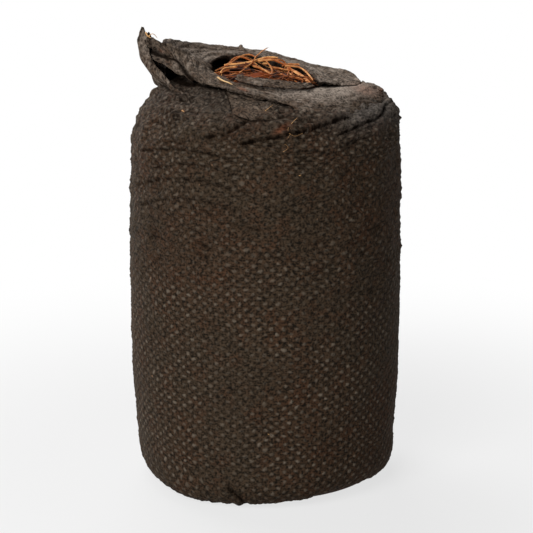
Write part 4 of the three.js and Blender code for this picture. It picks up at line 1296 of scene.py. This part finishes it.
def fleece_material(name, colours, dot_share=1.0, run=1.1):
    """Bonded fleece: small pressed dots in staggered rows, each with its own tone and a ragged rim,
    over streaky fibres with pits between them, and browner where coir dust has come through. Over
    them lie the marks, specks and shade. The dots are weaker on the upper wall."""
    dot, body, gap, brown, pale, bluish_dark, pink = (linear(*colour) for colour in colours)
    pit, unlit = (0.004, 0.003, 0.002, 1), (0.005, 0.003, 0.002, 1)
    material, tree, shader = new_material(name, 0.88, FLEECE_SPECULAR)
    place = add_node(tree, "ShaderNodeTexCoord").outputs["Object"]
    lattice = add_node(tree, "ShaderNodeUVMap", uv_map="lattice").outputs[0]
    stray = vector(tree, "SUBTRACT", noise(tree, place, 1100, 3.0, "Color"), (0.5, 0.5, 0.5))
    strayed = vector(tree, "ADD", lattice, vector(tree, "MULTIPLY", stray, (0.6, 0.6, 0.0)))
    from_dot = vector(tree, "SUBTRACT", vector(tree, "FRACTION", strayed), (0.5, 0.5, 0.0))
    reach = vector(tree, "LENGTH", from_dot)
    own = plus(tree, times(tree, attribute(tree, "dot"), 0.6), 0.38)
    patches = between(tree, noise(tree, place, 90), 0.38, 0.6, 0.45, 1.0)
    split = add_node(tree, "ShaderNodeSeparateXYZ")
    feed(tree, place, split.inputs[0])
    low, high = (between(tree, split.outputs["Z"], *ends) for ends in (DOT_FADE, DOT_RETURN))
    strength = times(tree, times(tree, own, patches), plus(tree, low, high))
    dots = times(tree, between(tree, reach, 0.08, 0.36, dot_share, 0.0), strength)
    streak_place = add_node(tree, "ShaderNodeCombineXYZ")
    for axis, (way, scale) in enumerate([((1, 1, 0), run), ((1, -1, 0), 2.8)]):
        feed(tree, times(tree, vector(tree, "DOT_PRODUCT", lattice, way), scale), streak_place.inputs[axis])
    bent = vector(tree, "ADD", streak_place.outputs[0], vector(tree, "SCALE", stray, scale=1.2))
    fibres = plus(tree, times(tree, noise(tree, bent, 1.0, 3.0), 0.4),
                  times(tree, noise(tree, place, 2400), 0.6))
    threads = between(tree, fibres, 0.37, 0.63)
    dust = between(tree, noise(tree, place, 300, 4.0), 0.46, 0.66, 0.0, 0.5)
    broad = between(tree, noise(tree, place, 42), 0.44, 0.64, 0.0, 0.34)
    speck = add_node(tree, "ShaderNodeTexVoronoi")
    feed(tree, place, speck.inputs["Vector"])
    speck.inputs["Scale"].default_value = 420
    tint = add_node(tree, "ShaderNodeSeparateColor")
    feed(tree, speck.outputs["Color"], tint.inputs[0])
    specks = times(tree, between(tree, speck.outputs["Distance"], 0.05, 0.13, 1.0, 0.0),
                   between(tree, tint.outputs[0], 0.9, 0.96))
    shade = attribute(tree, "shade")
    fluff = plus(tree, threads, 0.3)
    colour = blend_colours(tree, threads, gap, body)
    for share, laid_over in [
            (calculate(tree, "ADD", dust, broad, True), blend_colours(tree, threads, gap, brown)),
            (dots, dot),
            (between(tree, fibres, 0.34, 0.44, 0.6, 0.0), pit),
            (times(tree, attribute(tree, "pale"), fluff), pale),
            (attribute(tree, "bluish_dark"), bluish_dark),
            (times(tree, attribute(tree, "pink"), fluff), pink),
            (times(tree, attribute(tree, "rust"), between(tree, fibres, 0.35, 0.6, 0.25, 0.85)),
             linear(146, 88, 60)),
            (times(tree, specks, 0.6), linear(138, 108, 84)),
            (calculate(tree, "MULTIPLY", shade, 0.93, True), unlit)]:
        colour = blend_colours(tree, share, colour, laid_over)
    feed(tree, colour, shader.inputs["Base Color"])
    lit = calculate(tree, "SUBTRACT", 1.0, shade, True)
    feed(tree, times(tree, lit, FLEECE_SPECULAR), shader.inputs["Specular IOR Level"])
    bump(tree, shader, plus(tree, times(tree, dots, 0.5), fibres), 0.0003, 0.8)
    return material


def coir_material(name, colours, roughness, specular, grain, run=(1, 1, 1)):
    """Coir coloured by each strand's own tone from dark through middle to light, with streaks."""
    dark, middle, light = (linear(*colour) for colour in colours)
    material, tree, shader = new_material(name, roughness, specular)
    place = add_node(tree, "ShaderNodeTexCoord").outputs["Object"]
    streak = noise(tree, vector(tree, "MULTIPLY", place, run), grain, 3.0)
    stray = times(tree, calculate(tree, "SUBTRACT", streak, 0.5), 0.7)
    own = calculate(tree, "ADD", attribute(tree, "tone"), stray, True)
    colour = blend_colours(tree, between(tree, own, 0.0, 0.5), dark, middle)
    colour = blend_colours(tree, between(tree, own, 0.5, 1.0), colour, light)
    feed(tree, colour, shader.inputs["Base Color"])
    bump(tree, shader, streak, 0.0001, 0.6)
    return material


wall_fleece = fleece_material("sleeve fleece", WALL_COLOURS)
# The cuffs' fleece: lighter than the wall's, partly as painted light on folds that face up
fold_fleece = fleece_material("cuff fleece", FOLD_COLOURS, 0.5, 0.4)
pith = coir_material("coir pith", [(12, 5, 3), (56, 23, 10), (122, 62, 30)], 0.9, 0.15, 900)
coarse_fibre = coir_material("coir fibre", [(42, 16, 6), (160, 84, 34), (246, 182, 114)], 0.65, 0.18, 1200)
straw = coir_material("straw", [(150, 98, 54), (216, 166, 108), (240, 206, 152)], 0.6, 0.35, 900)
husk = coir_material("husk", [(34, 12, 4), (122, 54, 17), (190, 102, 38)], 0.55, 0.15, 1900, (0.15, 1, 1))

# The sleeve in three bands: the base, the wall from the base's edge upward, and the shoulder
base_piece = sleeve_part("fleece_base", wall_fleece, np.linspace(0.01, BASE_STAGE, BASE_ROWS), planar=True)
wall_piece = sleeve_part("fleece_wall", wall_fleece, np.concatenate([
    np.linspace(WALL_FOOT_STAGE, 2, FOOT_ROWS)[:-1], np.linspace(2, 3, WALL_ROWS)]))
shoulder_piece = sleeve_part("fleece_shoulder", wall_fleece, np.linspace(3, 4, SHOULDER_ROWS))
lap_piece = cloth("lap_cloth", lap_surface, 34, 190, wall_fleece, ["lap_strip"], "fleece_wall",
                  crumple=0.06, seed=60, pale=0.0)

# The folds of the mouth
# The front cuff's right part faces up and is paler: partly paler cloth and partly a painted highlight
front_cuff_piece = cloth(
    "front_cuff_cloth", cuff_surface(FRONT_CUFF, hanging_edge, (280, 292), 0.5), 340, 70, fold_fleece,
    ["front_cuff"], crumple=0.06, crumple_size=6.0, seed=70, ragged=0.02, relief=0.04, streak=0.18,
    shaded=0.9, in_mouth=0.24,
    pale=lambda u, v: (0.02 + 0.88 * smooth(u[:, None], 0.6, 0.82)) * (
        1 - smooth(u[:, None], 0.5, 0.6) * smooth(v, 0.4, 0.75)))
# The back cuff's left end is a darker blue-grey
back_cuff_piece = cloth(
    "back_cuff_cloth", cuff_surface(BACK_CUFF, resting_foot, (-20, -19), 0.85), 300, 80, fold_fleece,
    ["back_cuff"], crumple=0.05, crumple_size=5.0, seed=80, relief=0.04, streak=0.16, pale=0.3, shaded=1.0,
    in_mouth=0.24, bluish_dark=lambda u, v: 0.5 * smooth(u[:, None] + 0.05 * v, 0.8, 0.9))
ear_piece = cloth("ear_cloth", ear_surface, 170, 50, fold_fleece, ["corner_ear"], crumple=0.1, seed=90,
                  ragged=0.03, relief=0.05, streak=0.12, upright=True, shaded=0.6,
                  pale=lambda u, v: 0.08 * smooth(u[:, None], 0.32, 0.55))
tongue_piece = cloth("tongue_cloth", tongue_surface, 44, 30, fold_fleece, ["ear_tongue"], crumple=0.1,
                     seed=100, ragged=0.08, streak=0.14, pale=0.1, shaded=1.0)
lip_piece = cloth("lip_cloth", lip_surface, 110, 20, fold_fleece, ["front_lip"], crumple=0.08, seed=110,
                  ragged=0.08, pale=0.0)
tuck_piece = cloth("tuck_cloth", tuck_surface, 80, 40, fold_fleece, ["front_tuck"], crumple=0.04, seed=120,
                   streak=0.1, pale=-0.1, shaded=1.0)
corner_piece = cloth("corner_cloth", corner_surface, 60, 34, fold_fleece, ["corner_fold"], crumple=0.08,
                     seed=130, ragged=0.05, pale=0.3)

# The coir in the mouth
coir_bed(pith)
pith_crumbs(pith, 900)
for number, (fibre_name, start_radius, end_radius, route) in enumerate(FIBRES):
    fibre_bundle(f"coir_{fibre_name}", start_radius, end_radius, route, coarse_fibre,
                 0.62 + 0.06 * (number % 4), 200 + 7 * number, 1, nodes=[f"fibre_{fibre_name}"])
seen_fibres("coir_strand", SEEN_STRANDS, on_mound, 30, lambda share: thinned(share, 0.6, 0.15, 0.3, 0.1),
            coarse_fibre, spread=0.05, sides=7, seed=500)
fibre_bundle("straw_piece", 0.28, 0.12, STRAW_ROUTE, straw, 0.7, 301, 0, nodes=["straw_on_rim"], slot="straw")
fibre_bundle("ear_strand", 0.26, 0.12, EAR_FIBRE_ROUTE, straw, 0.55, 311, 0, nodes=["fibre_in_ear"])
fibre_bundle("ear_hair", 0.1, 0.07, EAR_HAIR_ROUTE, straw, 0.5, 313, 0)
loose_fibres("fine_fibres", coarse_fibre, count=210, lengths=(2.0, 7.0), radii=(0.05, 0.12),
             tone=0.32, seed=320)
loose_fibres("mat_fibres", coarse_fibre, count=120, lengths=(3.0, 8.0), radii=(0.09, 0.15),
             tone=0.18, seed=345)
seen_fibres("fleece_hair", SEEN_HAIRS, lambda pixels: seen_on_sleeve(pixels, HAIR_LIFT), 24,
            lambda share: 0.75 * (1 - 0.5 * share), straw, spread=0.0, sides=6, seed=600)
loose_fibres("dark_fibres", coarse_fibre, count=170, lengths=(1.5, 5.0), radii=(0.06, 0.14),
             tone=0.16, seed=330)
chip_piece = cloth("husk_flake", chip_surface, 48, 20, husk, ["husk_chip"], "husk", thickness=0.5,
                   crumple=0.05, seed=340, relief=0.0)
chip_piece.data.attributes.new("tone", "FLOAT", "POINT").data.foreach_set(
    "value", np.full(len(chip_piece.data.vertices), 0.5, np.float32))


# Floor, light and camera

def shown_rays(tree):
    """1 for the rays that show a thing to the camera, straight, mirrored or through glass."""
    rays = add_node(tree, "ShaderNodeLightPath").outputs
    return calculate(tree, "MAXIMUM", rays["Is Camera Ray"],
                     calculate(tree, "MAXIMUM", rays["Is Glossy Ray"], rays["Is Transmission Ray"]))


def mix_shaders(tree, share, first, second, output):
    """Two shaders mixed by a share into an output."""
    mix = add_node(tree, "ShaderNodeMixShader")
    feed(tree, share, mix.inputs[0])
    feed(tree, first.outputs[0], mix.inputs[1])
    feed(tree, second.outputs[0], mix.inputs[2])
    feed(tree, mix.outputs[0], tree.nodes[output].inputs["Surface"])


def studio_floor(half):
    """A pale floor that the camera sees as nearly white, with the plug's own soft shadow on it."""
    corners = np.array([(-half, -half, 0), (half, -half, 0), (half, half, 0), (-half, half, 0)]) * MM
    mesh = bpy.data.meshes.new("floor")
    mesh.from_pydata(corners.tolist(), [], [(0, 1, 2, 3)])
    material, tree, shader = new_material("pale floor", 0.9, 0.1)
    shader.inputs["Base Color"].default_value = (0.6, 0.6, 0.6, 1)
    place = add_node(tree, "ShaderNodeTexCoord").outputs["Object"]
    away = between(tree, vector(tree, "LENGTH", place), 0.04, 0.16, 0.72, 1.0)
    glow = add_node(tree, "ShaderNodeEmission")
    mix_shaders(tree, times(tree, shown_rays(tree), away), shader, glow, "Material Output")
    mesh.materials.append(material)
    new_object("floor", mesh)


def studio_world(strength):
    """Even light from all round, seen as white."""
    world = bpy.data.worlds.new("studio")
    bpy.context.scene.world = world
    world.use_nodes = True
    tree = world.node_tree
    even = tree.nodes["Background"]
    even.inputs["Color"].default_value = (1, 1, 1, 1)
    even.inputs["Strength"].default_value = strength
    mix_shaders(tree, shown_rays(tree), even, add_node(tree, "ShaderNodeBackground"), "World Output")


def soft_lamp(name, place, size, power):
    """A square area light at a place in millimetres, turned towards the plug's middle."""
    light = bpy.data.lights.new(name, "AREA")
    light.size, light.energy = size * MM, power
    lamp = new_object(name, light)
    lamp.location = Vector(place) * MM
    aim = Vector((0, 0, CROWN_HEIGHT / 2)) * MM
    lamp.rotation_euler = (aim - lamp.location).to_track_quat("-Z", "Y").to_euler()


def photo_camera():
    """The camera at the photograph's distance and elevation, looking a little down."""
    data = bpy.data.cameras.new("camera")
    data.lens = CAMERA_FOCAL
    data.sensor_width = SENSOR_WIDTH
    data.clip_start, data.clip_end = 0.01, 10
    camera = new_object("camera", data)
    back = Vector((0, -math.cos(CAMERA_RISE), math.sin(CAMERA_RISE)))
    camera.location = (Vector(CAMERA_AIM) + CAMERA_DISTANCE * back) * MM
    camera.rotation_euler = (-back).to_track_quat("-Z", "Y").to_euler()
    bpy.context.scene.camera = camera


studio_floor(FLOOR_HALF)
studio_world(WORLD_LIGHT)
for lamp in LAMPS:
    soft_lamp(*lamp)
photo_camera()
bpy.context.scene.view_settings.view_transform = "Standard"

bpy.context.view_layer.update()
